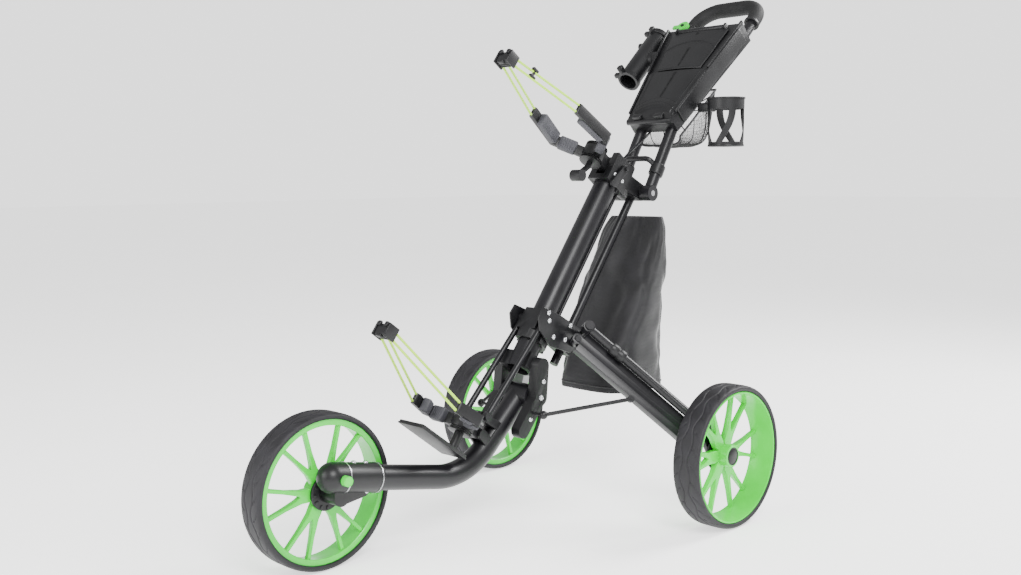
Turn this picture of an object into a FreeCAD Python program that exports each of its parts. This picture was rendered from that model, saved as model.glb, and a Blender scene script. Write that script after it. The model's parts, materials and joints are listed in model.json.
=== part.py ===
import FreeCAD, Part
import math
import os
import re

Vector = FreeCAD.Vector
Rotation = FreeCAD.Rotation
Placement = FreeCAD.Placement

# Golf push trolley, unfolded. Millimetres, +X forwards, +Y to the trolley's left, +Z up, origin on the ground
# under the middle of the bounding box. Lengths along the ground are measured forwards from the rear axle.
SIZES = {
    "origin_ahead_of_axle": 161.1,   # how far the origin lies in front of the rear axle
    # wheels
    "wheel_radius": 140,
    "tyre_width": 58,
    "rim_radius": 128.5,
    "rim_depth": 46,
    "rim_wall": 4,
    "spoke_thickness": 7,
    "hub_radius": 21,
    "stub_radius": 7,
    "running_gap": 0.05,
    "wheelbase": 690,
    "rear_wheel_out": 326,           # middle of a rear wheel from the centre plane
    "front_wheel_out": 60,           # middle of the front wheel from the centre plane
    # mast and fork
    "mast_lean": 36.8,
    "mast_foot_ahead": 280,
    "mast_foot_up": 262,
    "mast_radius": 25,
    "mast_wall": 2.5,
    "mast_bottom": 52,               # along the mast from its foot point
    "mast_top": 506,
    "fork_gap": 76,
    "fork_cheek": 22,
    "fork_arm_radius": 14,
    "fork_pivot_back": 33.6,         # fold pin behind the mast axis
    "fork_pivot_rise": 15,
    "fork_arm_drop": 61.5,
    "fold_pin_radius": 6,
    # slider hub
    "hub_low": 118,
    "hub_plate": 4,
    "hub_plate_out": 38,             # inner face of a hub plate
    "hub_slide_gap": 0.4,
    "thin_rail_radius": 4,
    "thin_rail_back": 39,
    "rear_rail_radius": 9,
    "rear_rail_back": 85,
    "rail_bottom": 112,
    "thin_rail_length": 410,
    "rear_rail_length": 420,
    "strut_radius": 6,
    "strut_out": 30.5,
    "strut_top_ahead": 20,
    "strut_top_rise": 158,
    # rear legs
    "leg_root_back": 52,             # leg hinge behind the mast axis
    "leg_root_rise": 158,
    "leg_root_out": 64,
    "leg_end_ahead": 4,
    "leg_end_up": 158,
    "leg_end_out": 250,
    "leg_height": 44,
    "leg_width": 20,
    "leg_strut_radius": 9,
    "leg_strut_rise": 27,            # strut above its leg, across the swing axis
    "leg_strut_aside": 21.5,         # strut beside its leg, along the swing axis
    "wheel_draws_in": 153,           # how far a folding leg brings its wheel in
    "hinge_stud_radius": 6,
    "knuckle_radius": 12,
    "knuckle_half": 10,
    "carrier_width": 20,
    "stay_radius": 4,
    "stay_share": 0.507,             # where the stay meets its leg, from the leg's root
    "stay_aside": 18,                # stay beside its leg, along the swing axis
    "stay_out": 87,
    "stay_drop": 20,                 # stay hinge under the mast's foot point
    "stay_pin_radius": 3,
    "stay_ball_radius": 5,
    "stay_cup_wall": 3.5,
    # front arm
    "front_tube_radius": 23,
    "front_tube_wall": 2.5,
    "front_tube_slope": 11,
    "strut_pin_ahead": 48,           # open lower pivot of the strut pair, ahead of the mast axis
    "strut_pin_drop": 74,
    "front_tube_rise": 33,           # tube axis above the front axle
    "front_knee_ahead": 395,
    "front_bend_radius": 140,
    "sleeve_radius": 25.5,
    "sleeve_length": 104,
    # handle
    "handle_pivot_back": 85,
    "handle_pivot_rise": 544,
    "handle_tube_radius": 12.5,
    "handle_tube_out": 42,
    "handle_knee_back": 98,          # bend of the handle behind its pivot
    "handle_knee_up": 163,
    "handle_lean": 47,
    "handle_length": 386,
    "grip_out": 84,
    "grip_radius": 17,
    "console_out": 92,
    "console_length": 300,
    "console_depth": 50,
    "lid_pin_radius": 2,
    # accessories
    "cup_radius": 41,
    "cup_wall": 3,
    "cup_depth": 105,
    "umbrella_bore": 20,
    "umbrella_wall": 5,
    "umbrella_length": 156,
    "umbrella_out": 136,
    # cradles
    "cradle_pin_radius": 4,
    "upper_cradle_ahead": 28,
    "upper_cradle_rise": 531,
    "upper_cradle_reach": 186,       # arm tips ahead of the cradle's own pin
    "lower_cradle_ahead": 25,
    "lower_cradle_drop": 104,
    "lower_cradle_reach": 125,
    "cradle_hub_ahead": 42,
    "cradle_hub_radius": 24,
    "cradle_hub_half": 20,
    "cradle_out": 62,
    "cord_radius": 2.5,
    # bag
    "bag_width": 196,
    "bag_bottom": 232,
    "bag_top": 596,
}

doc = FreeCAD.newDocument("push_trolley")
sheet = doc.addObject("Spreadsheet::Sheet", "Sizes")
for row, (alias, value) in enumerate(SIZES.items(), start=1):
    sheet.set("A%d" % row, alias)
    sheet.set("B%d" % row, str(value))
    sheet.setAlias("B%d" % row, alias)
doc.recompute()
PARTS = []


def size(alias):
    """A driving dimension, read back from the sheet."""
    return float(sheet.get(alias))


def bind(feature, prop, text):
    """Bind a property to an expression in the sheet's aliases, or to a plain number."""
    words = re.compile(r"[a-z_]+[a-z]")
    feature.setExpression(prop, words.sub(lambda m: "Sizes." + m.group(0) if m.group(0) in SIZES else m.group(0),
                                          str(text)))


def settle(feature, label, placement):
    """Name a finished sub-part and put it in its place."""
    feature.Label = label
    feature.Placement = placement
    PARTS.append(feature)
    return feature


def upright(start, ahead):
    """A placement at a point whose local Z runs along a direction."""
    return Placement(Vector(*start), Rotation(Vector(0, 0, 1), Vector(*ahead)))


def cylinder(radius, length, at=(0, 0, 0), along="z"):
    """A cylinder whose lower end is centred at a point, running along one local axis."""
    feature = doc.addObject("Part::Cylinder", "cylinder")
    bind(feature, "Radius", radius)
    bind(feature, "Height", length)
    turn = {"x": Rotation(Vector(0, 1, 0), 90), "y": Rotation(Vector(1, 0, 0), -90), "z": Rotation()}[along]
    feature.Placement = Placement(Vector(), turn)
    for axis, value in zip("xyz", at):
        bind(feature, "Placement.Base." + axis, value)
    return feature


def shaft(start, end, radius):
    """A round bar between two points."""
    start, end = Vector(*start), Vector(*end)
    feature = doc.addObject("Part::Cylinder", "shaft")
    bind(feature, "Radius", radius)
    feature.Height = (end - start).Length
    feature.Placement = upright(start, end - start)
    return feature


def box(length, width, height, at=(0, 0, 0)):
    """A box centred at a point."""
    feature = doc.addObject("Part::Box", "box")
    for prop, side, axis, value in zip(("Length", "Width", "Height"), (length, width, height), "xyz", at):
        bind(feature, prop, side)
        bind(feature, "Placement.Base." + axis, "(%s) - (%s) / 2" % (value, side))
    return feature


def wedge(base, top, length, placement):
    """A tapered bar from a (width, low, high) base to a like top, running along the placement's Y axis."""
    feature = doc.addObject("Part::Wedge", "wedge")
    names = (("Xmin", "Xmax", "Zmin", "Zmax"), ("X2min", "X2max", "Z2min", "Z2max"))
    for (left, right, under, over), (width, low, high) in zip(names, (base, top)):
        bind(feature, left, "-(%s) / 2" % width)
        bind(feature, right, "(%s) / 2" % width)
        bind(feature, under, low)
        bind(feature, over, high)
    bind(feature, "Ymin", 0)
    bind(feature, "Ymax", length)
    feature.Placement = placement
    return feature


def fuse(*pieces):
    feature = doc.addObject("Part::MultiFuse", "fuse")
    feature.Shapes = list(pieces)
    return feature


def cut(base, *tools):
    feature = doc.addObject("Part::Cut", "cut")
    feature.Base = base
    feature.Tool = tools[0] if len(tools) == 1 else fuse(*tools)
    return feature


def group(*pieces):
    """Separate solids that share one node."""
    feature = doc.addObject("Part::Compound", "group")
    feature.Links = list(pieces)
    return feature


def moved(piece, placement):
    """A piece carried to another place, whatever its own place is bound to."""
    carried = group(piece)
    carried.Placement = placement
    return carried


def sphere(centre, radius):
    feature = doc.addObject("Part::Sphere", "sphere")
    bind(feature, "Radius", radius)
    feature.Placement = Placement(Vector(*centre), Rotation())
    return feature


def extruded(edges, low, high):
    """A flat piece with an outline in the local XZ plane, between two Y levels."""
    sketch = doc.addObject("Sketcher::SketchObject", "outline")
    sketch.Placement = Placement(Vector(0, low, 0), Rotation(Vector(1, 0, 0), 90))
    for edge in edges:
        sketch.addGeometry(edge)
    feature = doc.addObject("Part::Extrusion", "flat")
    feature.Base = sketch
    feature.DirMode = "Normal"
    feature.Reversed = True
    feature.LengthFwd = high - low
    feature.Solid = True
    return feature


def capsule(start, end, radius, low, high):
    """A flat bar with round ends."""
    a, b = Vector(*start, 0), Vector(*end, 0)
    tip = (b - a).normalize() * radius
    side = Vector(-tip.y, tip.x, 0)
    return extruded([Part.LineSegment(a + side, b + side), Part.Arc(b + side, b + tip, b - side),
                     Part.LineSegment(b - side, a - side), Part.Arc(a - side, a - tip, a + side)], low, high)


def plate(outline, low, high):
    """A flat plate from an outline of (x, z) corners."""
    points = [Vector(x, z, 0) for x, z in outline]
    return extruded([Part.LineSegment(a, b) for a, b in zip(points, points[1:] + points[:1])], low, high)


def route(points, bend=None):
    """Straight runs joined by tangent arcs. Without a bend radius each arc is as large as its runs allow."""
    points = [Vector(*p) for p in points]
    edges, start, radii = [], points[0], []
    for before, corner, after in zip(points, points[1:], points[2:]):
        back, ahead = before - corner, after - corner
        half = (math.pi - back.getAngle(ahead)) / 2
        radius = bend or 0.45 * min(back.Length, ahead.Length) / math.tan(half)
        reach = radius * math.tan(half)
        back.normalize()
        ahead.normalize()
        inward = (back + ahead).normalize()
        first, last = corner + back * reach, corner + ahead * reach
        middle = corner + inward * (radius / math.cos(half) - radius)
        edges.append(Part.LineSegment(start, first).toShape())
        edges.append(Part.Arc(first, middle, last).toShape())
        radii.append(radius)
        start = last
    edges.append(Part.LineSegment(start, points[-1]).toShape())
    return Part.Wire(edges), radii


def pipe(points, radius, bend=None):
    """A bent round bar along a route."""
    spine = doc.addObject("Part::Feature", "spine")
    spine.Shape = route(points, bend)[0]
    ring = doc.addObject("Part::Circle", "ring")
    bind(ring, "Radius", radius)
    ring.Placement = upright(points[0], Vector(*points[1]) - Vector(*points[0]))
    feature = doc.addObject("Part::Sweep", "swept")
    feature.Sections = [ring]
    feature.Spine = (spine, ["Edge%d" % (i + 1) for i in range(len(spine.Shape.Edges))])
    feature.Solid = True
    return feature


def turned(profile):
    """A body turned about its local Z axis from an (r, z) outline."""
    body = doc.addObject("PartDesign::Body", "turned")
    sketch = body.newObject("Sketcher::SketchObject", "profile")
    plane = next(f for f in body.Origin.OriginFeatures if f.Role == "XZ_Plane")
    sketch.AttachmentSupport = (plane, "")
    sketch.MapMode = "FlatFace"
    points = [Vector(r, z, 0) for r, z in profile]
    for a, b in zip(points, points[1:] + points[:1]):
        sketch.addGeometry(Part.LineSegment(a, b))
    spun = body.newObject("PartDesign::Revolution", "spun")
    spun.Profile = sketch
    spun.ReferenceAxis = (sketch, ["V_Axis"])
    spun.Angle = 360
    return body


def place(ahead, out, up, turn=Rotation()):
    """A placement from lengths ahead of the rear axle, out from the centre plane and above the ground."""
    return Placement(Vector(ahead - size("origin_ahead_of_axle"), out, up), turn)


GROUND = place(0, 0, 0)
LEAN = math.radians(size("mast_lean"))
MAST = place(size("mast_foot_ahead"), 0, size("mast_foot_up"), Rotation(Vector(0, 1, 0), -size("mast_lean")))


def fromMast(ahead, along):
    """Ground-frame (x, z) of a point ahead of the mast axis and along the mast."""
    return (size("mast_foot_ahead") + ahead * math.cos(LEAN) - along * math.sin(LEAN),
            size("mast_foot_up") + ahead * math.sin(LEAN) + along * math.cos(LEAN))


# ---------------------------------------------------------------- wheels
def wheel(name, ahead, out, face):
    """Tyre, rim, hub cap and brake disc of one wheel. face is +1 where the dished side looks to +Y."""
    spot = place(ahead, out, size("wheel_radius"), Rotation(Vector(1, 0, 0), -90 * face))
    radius, half, rim = size("wheel_radius"), size("tyre_width") / 2, size("rim_radius")
    settle(turned([(rim + 0.05, -half + 3), (rim + 5, -half), (radius - 3.5, -half + 5), (radius - 0.8, -half + 12),
                   (radius, -half + 19), (radius, half - 19), (radius - 0.8, half - 12), (radius - 3.5, half - 5),
                   (rim + 5, half), (rim + 0.05, half - 3)]), "tyre_" + name, spot)
    wall, depth = size("rim_wall"), size("rim_depth")
    barrel = turned([(rim, -depth / 2), (rim, depth / 2 + 4), (rim - wall, depth / 2 + 4), (rim - wall - 6, -4),
                     (rim - wall - 8, -depth / 2)])
    hub = cylinder("hub_radius", "rim_depth * 0.8", (0, 0, "-rim_depth / 2"))
    spokes = []
    for pair in range(6):
        for lean in (-11, 11):
            middle, splayed = math.radians(60 * pair), math.radians(60 * pair + lean)
            root = Vector(math.cos(middle), math.sin(middle), 0) * (size("hub_radius") - 4)
            tip = Vector(math.cos(splayed), math.sin(splayed), 0) * (rim - wall - 6.5)
            turn = Rotation(Vector(), tip - root, Vector(0, 0, 1), "ZYX")
            spokes.append(wedge(("spoke_thickness * 1.6", "-rim_depth / 2 + 3", "-rim_depth / 2 + 17"),
                                ("spoke_thickness * 0.7", "-rim_depth / 2 + 3", "-rim_depth / 2 + 12"),
                                (tip - root).Length, Placement(root, turn)))
    bore = cylinder("stub_radius + running_gap", "rim_depth * 3", (0, 0, "-rim_depth"))
    pocket = cylinder("hub_radius - 4", "6", (0, 0, "rim_depth * 0.3 - 5"))
    settle(cut(fuse(barrel, hub, *spokes), bore, pocket), "rim_" + name, spot)
    cap = fuse(cylinder("hub_radius - 4", "5", (0, 0, "rim_depth * 0.3 - 5")),
               cylinder("hub_radius - 6", "2", (0, 0, "rim_depth * 0.3")))
    settle(cap, "hub_cap_" + name, spot)
    disc = cut(cylinder("hub_radius + 11", "5", (0, 0, "-rim_depth / 2 - 5")),
               cylinder("stub_radius + 1", "20", (0, 0, "-rim_depth / 2 - 12")))
    settle(disc, "brake_disc_" + name, spot)


wheel("front", size("wheelbase"), -size("front_wheel_out"), -1)
wheel("left", 0, size("rear_wheel_out"), 1)
wheel("right", 0, -size("rear_wheel_out"), -1)

# ---------------------------------------------------------------- mast, fork and rails
mast = cut(cylinder("mast_radius", "mast_top - mast_bottom", (0, 0, "mast_bottom")),
           cylinder("mast_radius - mast_wall", "mast_top - mast_bottom", (0, 0, "mast_bottom")))
settle(mast, "mast_tube", MAST)

# The fork's cheeks carry the front tube's fold pin, and each has an arm down to its stay's hinge.
inner = size("fork_gap") / 2
outer = inner + size("fork_cheek")
forkPivot = (-size("fork_pivot_back"), size("fork_pivot_rise"))
forkArm = (4 - size("fork_pivot_back"), -size("fork_arm_drop"))
forkFoot = (-2, size("mast_bottom") + 16)
stayHinge = (-31, -size("stay_drop"))
cheeks = []
for low, high in ((inner, outer), (-outer, -inner)):
    cheeks.append(capsule(forkPivot, forkArm, size("fork_arm_radius"), low, high))
    cheeks.append(capsule(forkPivot, forkFoot, size("fork_arm_radius") + 2, low, high))
foot = box("44", "fork_gap", "32", (0, 0, "mast_bottom + 16"))
studs = cylinder("stay_pin_radius", "2 * stay_out", (stayHinge[0], "-stay_out", "-stay_drop"), "y")
between = box("60", "fork_gap", "60", (stayHinge[0], 0, "-stay_drop"))
balls = [sphere((stayHinge[0], side * size("stay_out"), stayHinge[1]), "stay_ball_radius") for side in (1, -1)]
fork = cut(fuse(foot, *cheeks, cut(studs, between), *balls),
           cylinder("mast_radius", "80", (0, 0, "mast_bottom")),
           cylinder("fold_pin_radius", "fork_gap * 3",
                    ("-fork_pivot_back", "-fork_gap * 1.5", "fork_pivot_rise"), "y"))
settle(fork, "mast_fork", MAST)

# The upper joint is a casting on the mast's top.
# It holds both rails, the handle's pin and the upper cradle's pin.
slot = 23
joint = cut(fuse(box("62", "56", "66", (0, 0, "mast_top + 27")),
                 capsule((-10, size("mast_top") + 24), (-size("handle_pivot_back"), size("handle_pivot_rise")), 17,
                         -26, 26)),
            cylinder("mast_radius", "50", (0, 0, "mast_top - 50")),
            cylinder("thin_rail_radius", "thin_rail_length", ("-thin_rail_back", 0, "rail_bottom")),
            cylinder("rear_rail_radius", "rear_rail_length", ("-rear_rail_back", 0, "rail_bottom")),
            cylinder("fold_pin_radius", "200", ("-handle_pivot_back", "-100", "handle_pivot_rise"), "y"),
            box("30", str(slot), "80", ("upper_cradle_ahead + 3", 0, "upper_cradle_rise + 21")))
cradlePin = cylinder("cradle_pin_radius", "56", ("upper_cradle_ahead", "-28", "upper_cradle_rise"), "y")
latchStud = cylinder("cradle_pin_radius", "14", (0, 26, "mast_top + 39"), "y")
settle(fuse(joint, cradlePin, latchStud), "upper_joint", MAST)

settle(group(cylinder("thin_rail_radius", "thin_rail_length", ("-thin_rail_back", 0, "rail_bottom")),
             cylinder("rear_rail_radius", "rear_rail_length", ("-rear_rail_back", 0, "rail_bottom"))),
       "guide_rails", MAST)

pins = [cylinder("fold_pin_radius - running_gap", "fork_gap + 2 * fork_cheek",
                 ("-fork_pivot_back", "-fork_gap / 2 - fork_cheek", "fork_pivot_rise"), "y"),
        cylinder("fold_pin_radius - running_gap", "2 * handle_tube_out + 26",
                 ("-handle_pivot_back", "-handle_tube_out - 13", "handle_pivot_rise"), "y")]
settle(group(*pins), "fold_pins", MAST)

# ---------------------------------------------------------------- slider hub
plateInner = size("hub_plate_out")
plateOuter = plateInner + size("hub_plate")
outline = [(30, 10), (50, 32), (48, 54), (0, 66), (-92, 77), (-101, 66), (-72, 19), (-12, 0)]
outline = [(x, z + size("hub_low")) for x, z in outline]
hubPlates = group(plate(outline, plateInner, plateOuter), plate(outline, -plateOuter, -plateInner))
settle(hubPlates, "hub_plates", MAST)
block = cut(fuse(box("62", "2 * hub_plate_out", "46", (0, 0, "hub_low + 37")),
                 cylinder("mast_radius + 8", "22", (0, 0, "hub_low - 6")),
                 box("76", "34", "36", (-63, 0, "hub_low + 42"))),
            cylinder("mast_radius + hub_slide_gap", "200", (0, 0, "hub_low - 60")),
            cylinder("thin_rail_radius + hub_slide_gap", "200", ("-thin_rail_back", 0, "hub_low - 60")),
            cylinder("rear_rail_radius + hub_slide_gap", "200", ("-rear_rail_back", 0, "hub_low - 60")),
            box("30", "20", "76", ("strut_top_ahead + 4", "strut_out + 3.5", "strut_top_rise - 8")),
            box("30", "20", "76", ("strut_top_ahead + 4", "-strut_out - 3.5", "strut_top_rise - 8")))
strutPinBar = cylinder("cradle_pin_radius", "2 * hub_plate_out",
                       ("strut_top_ahead", "-hub_plate_out", "strut_top_rise"), "y")
block = cut(fuse(block, strutPinBar), cylinder("mast_radius + hub_slide_gap", "200", (0, 0, "hub_low - 60")))
settle(block, "hub_block", MAST)

# ---------------------------------------------------------------- rear legs
rootX, rootZ = fromMast(-size("leg_root_back"), size("leg_root_rise"))
stayX, stayZ = fromMast(*stayHinge)


def rearLeg(name, side):
    """Leg, strut above it, wheel carrier and stay of one side, with its hinge studs. side is +1 on the left."""
    root = Vector(rootX, side * size("leg_root_out"), rootZ)
    end = Vector(size("leg_end_ahead"), side * size("leg_end_out"), size("leg_end_up"))
    length = (end - root).Length
    ahead = (end - root) * (1 / length)
    drawnIn = side * ahead.y - size("wheel_draws_in") / length
    flat = math.sqrt(1 - drawnIn ** 2)
    folded = Vector(math.sin(LEAN) * flat, side * drawnIn, -math.cos(LEAN) * flat)
    swing = ahead.cross(folded).normalize()
    swing *= math.copysign(1, swing.y * side)
    above = swing.cross(ahead) * side
    offset = swing * size("leg_strut_aside") + above * size("leg_strut_rise")
    half, knuckle, stud = size("knuckle_half"), size("knuckle_radius"), size("hinge_stud_radius")

    def link(start, finish, body):
        """A link with a bored knuckle round each hinge stud."""
        rings = [shaft(point - swing * half, point + swing * half, "knuckle_radius") for point in (start, finish)]
        bores = [shaft(point - swing * 2 * half, point + swing * 2 * half, "hinge_stud_radius + running_gap")
                 for point in (start, finish)]
        return cut(fuse(body, *rings), *bores)

    along = Placement(root, Rotation(ahead, swing * side, above, "XYZ"))
    beam = box("%s - 16" % length, "leg_width", "leg_height", ("%s / 2" % length, 0, 0))
    bore = box("%s - 90" % length, "leg_width - 4", "leg_height - 4", ("%s / 2" % length, 0, 0))
    beam = cut(beam, bore)
    beam.Placement = along
    settle(link(root, end, beam), "leg_" + name, GROUND)

    top, bottom = root + offset, end + offset
    rod = shaft(top + ahead * 4, bottom - ahead * 4, "leg_strut_radius")
    settle(link(top, bottom, rod), "leg_strut_" + name, GROUND)

    # hinge studs stand out of the hub plate, and others out of the wheel carrier, along the swing axis
    face = side * plateOuter
    beyond = box("400", "60", "400", (rootX, face - side * 30, rootZ))
    hubStuds = []
    for point in (root, top):
        back = (point.y - face) / swing.y
        hubStuds.append(shaft(point - swing * (back + 8), point + swing * (half + 0.8), "hinge_stud_radius"))
    hubStuds.append(shaft(top + swing * (half + 0.8), top + swing * (half + 4.8), "hinge_stud_radius + 3"))
    hubStuds = cut(fuse(*hubStuds), beyond)

    mount = side * (size("rear_wheel_out") - size("rim_depth") / 2 - 6)
    slabInner = mount - side * size("carrier_width") / 2
    spots, pins = [(0, size("wheel_radius"))], []
    for point in (end, bottom):
        out = (slabInner - point.y) / swing.y
        spot = point + swing * out
        spots.append((spot.x, spot.z))
        pins.append(shaft(point - swing * (half + 0.8), point + swing * (out + 8), "hinge_stud_radius"))
    pins.append(shaft(end - swing * (half + 4.8), end - swing * (half + 0.8), "hinge_stud_radius + 3"))
    low, high = sorted((slabInner, mount))
    arms = [capsule(spots[a], spots[b], 13, low, high) for a, b in ((0, 1), (0, 2), (1, 2))]
    outside = box("400", "40", "400", (0, mount + side * 20, 200))
    axle = shaft((0, mount - side, size("wheel_radius")),
                 (0, mount + side * size("rim_depth") * 0.8, size("wheel_radius")), "stub_radius")
    settle(fuse(cut(fuse(*arms, *pins), outside), axle), "wheel_carrier_" + name, GROUND)

    # the stay hinges on the fork's stud; its upper end stands beside the leg, an open pivot
    anchor = Vector(stayX, side * size("stay_out"), stayZ)
    lug = root + ahead * length * size("stay_share") + swing * size("stay_aside") - above * 30
    cup = sphere(anchor, "stay_ball_radius + stay_cup_wall")
    mouth = box("40", "20", "40", (anchor.x, anchor.y - side * 11, anchor.z))
    rod = shaft(anchor, lug, "stay_radius")
    tip = shaft(lug - swing * 3.5, lug + swing * 3.5, "stay_radius + 3")
    settle(cut(fuse(rod, cup, tip), sphere(anchor, "stay_ball_radius + running_gap"), mouth), "stay_rod_" + name, GROUND)
    return hubStuds


settle(group(rearLeg("left", 1), rearLeg("right", -1)), "hub_hinge_studs", GROUND)

# ---------------------------------------------------------------- front strut pair
strutTop = fromMast(size("strut_top_ahead"), size("strut_top_rise"))
strutPin = fromMast(size("strut_pin_ahead"), -size("strut_pin_drop"))
struts = []
for side in (1, -1):
    out = side * size("strut_out")
    top, low = Vector(strutTop[0], out, strutTop[1]), Vector(strutPin[0], out, strutPin[1])
    across = Vector(0, 5.5, 0)
    rings = [shaft(point - across, point + across, "strut_radius + 3") for point in (top, low)]
    bore = shaft(top - across * 2, top + across * 2, "cradle_pin_radius + running_gap")
    struts.append(cut(fuse(shaft(top, low, "strut_radius"), *rings), bore))
settle(group(*struts), "front_struts", GROUND)

# ---------------------------------------------------------------- front tube and its bracket
slope = math.radians(size("front_tube_slope"))
forward = Vector(math.cos(slope), 0, math.sin(slope))
overAxle = Vector(size("wheelbase"), 0, size("wheel_radius") + size("front_tube_rise"))
knee = overAxle + forward * ((size("front_knee_ahead") - overAxle.x) / forward.x)
foldX, foldZ = fromMast(*forkPivot)
tubeRoute = [overAxle, knee, Vector(foldX, 0, foldZ)]
halfEye = inner - 1


def frontPipe(radius):
    return pipe(tubeRoute, radius, size("front_bend_radius"))


def acrossPin(spot, halfLength, radius):
    """A cylinder along Y, centred on an (x, z) point."""
    return shaft((spot[0], -halfLength, spot[1]), (spot[0], halfLength, spot[1]), radius)


tube = cut(fuse(cut(frontPipe("front_tube_radius"), frontPipe("front_tube_radius - front_tube_wall")),
                acrossPin((foldX, foldZ), halfEye, "front_tube_radius")),
           acrossPin((foldX, foldZ), 2 * halfEye, "fold_pin_radius"))
settle(tube, "front_tube", GROUND)

lowerPivot = fromMast(size("lower_cradle_ahead"), -size("lower_cradle_drop"))
bracketFoot = fromMast(-12, 4 - size("strut_pin_drop"))
bracketHeel = fromMast(-4, -size("lower_cradle_drop") - 6)
cheekLow, cheekHigh = slot / 2, slot / 2 + 7
plates = [capsule(bracketFoot, strutPin, 8, -cheekHigh, cheekHigh)]
for low, high in ((cheekLow, cheekHigh), (-cheekHigh, -cheekLow)):
    plates.append(capsule(bracketHeel, lowerPivot, 10, low, high))
    plates.append(capsule(bracketFoot, bracketHeel, 10, low, high))
bracket = cut(fuse(*plates, acrossPin(strutPin, 23.5, "cradle_pin_radius"),
                   acrossPin(lowerPivot, cheekHigh, "cradle_pin_radius")), frontPipe("front_tube_radius"))
settle(bracket, "cradle_bracket", GROUND)

# ---------------------------------------------------------------- front wheel carrier
sleeveBack = overAxle - forward * (size("sleeve_length") - 18)
low = size("rim_depth") / 2 + 6 - size("front_wheel_out")
axleSpot = (size("wheelbase"), size("wheel_radius"))
shell = fuse(shaft(sleeveBack, overAxle + forward * 12, "sleeve_radius + 1.5"),
             capsule(axleSpot, (overAxle.x - 4, overAxle.z - 12), 16, low, 12),
             capsule(axleSpot, (overAxle.x - 46, axleSpot[1] + 6), 14, low, 12))
dome = sphere(overAxle + forward * 12, "sleeve_radius + 1.5")
socket = shaft(sleeveBack - forward * 20, overAxle, "front_tube_radius + running_gap")
stub = shaft((axleSpot[0], low + 2, axleSpot[1]), (axleSpot[0], low - size("rim_depth") * 0.8, axleSpot[1]),
             "stub_radius")
sleeve = cut(fuse(shell, dome), socket)
settle(fuse(sleeve, stub), "front_sleeve", GROUND)
knobSeat = overAxle + forward * 4 + Vector(0, size("sleeve_radius") + 0.5, 0)
knob = fuse(shaft(knobSeat, knobSeat + Vector(0, 12, 0), "9"), shaft(knobSeat - Vector(0, 8, 0), knobSeat, "4"))
settle(cut(knob, sleeve), "index_knob", GROUND)


# ---------------------------------------------------------------- cradles
def strip(points, half, low, high):
    """A bent flat bar with round corners in the local XY plane, between two Z levels."""
    pieces = []
    for a, b in zip(points, points[1:]):
        a, b = Vector(*a, low), Vector(*b, low)
        run = doc.addObject("Part::Box", "run")
        run.Length, run.Width, run.Height = (b - a).Length, 2 * half, high - low
        start = Placement(a, Rotation(Vector(1, 0, 0), b - a))
        run.Placement = start.multiply(Placement(Vector(0, -half, 0), Rotation()))
        pieces += [run, shaft(a, a + Vector(0, 0, high - low), half)]
    pieces.append(shaft(b, b + Vector(0, 0, high - low), half))
    return fuse(*pieces)


def cradle(name, spot, reach, elbow, clipAt):
    """Hub, arms, pads, two elastic loops and their clip, in a frame at the pin that the cradle tilts about."""
    out, hubAt, lift = size("cradle_out"), size("cradle_hub_ahead"), 7
    root = hubAt + 6
    crossing = strip([(root, 20), (root, -20)], 5, -11, 11)
    sides = [strip([(root, s * 20), (elbow, s * (out + 12)), (reach, s * out)], 5, -11, 11) for s in (1, -1)]
    bar = fuse(crossing, *sides)
    loops = []
    for s in (1, -1):
        near, far = Vector(reach + 2, s * out, 0), Vector(clipAt[0], s * 12, clipAt[1])
        up = Vector(0, 0, 1)
        loops.append([near + up * (lift + 1), far + up * lift, far - up * lift, near - up * (lift + 1)])
        wire, radii = route(loops[-1])
        print("loop", name, s, "radii", [round(r, 1) for r in radii], "length", round(wire.Length))
    settle(cut(bar, *(pipe(points, "cord_radius") for points in loops)), "cradle_arms_" + name, spot)
    for label, points in zip(("left", "right"), loops):
        settle(pipe(points, "cord_radius"), "loop_%s_%s" % (name, label), spot)
    clip = box("28", "40", "30", (clipAt[0] + 2, 0, clipAt[1]))
    settle(cut(clip, *(pipe(points, "cord_radius") for points in loops)), "loop_clip_" + name, spot)

    hub = fuse(cylinder("cradle_hub_radius", "2 * cradle_hub_half", ("cradle_hub_ahead", 0, "-cradle_hub_half")),
               capsule((0, 0), (hubAt - 12, 0), 10, -11, 11))
    ribs = [cut(cylinder("cradle_hub_radius + 6", "3", ("cradle_hub_ahead", 0, level)),
                cylinder("cradle_hub_radius - 3", "3", ("cradle_hub_ahead", 0, level))) for level in (-19, -15, 12, 16)]
    bore = cylinder("cradle_pin_radius + running_gap", "40", (0, -20, 0), "y")
    settle(cut(hub, *ribs, bore, bar), "cradle_hub_" + name, spot)
    pads = []
    for s in (1, -1):
        for a, b in (((root + 18, 36), (elbow - 10, out - 2)), ((elbow + 8, out + 2), (reach - 24, out - 7))):
            pads.append(cut(strip([(a[0], s * a[1]), (b[0], s * b[1])], 4, -14, 14), bar))
    settle(group(*pads), "cradle_pads_" + name, spot)


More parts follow.
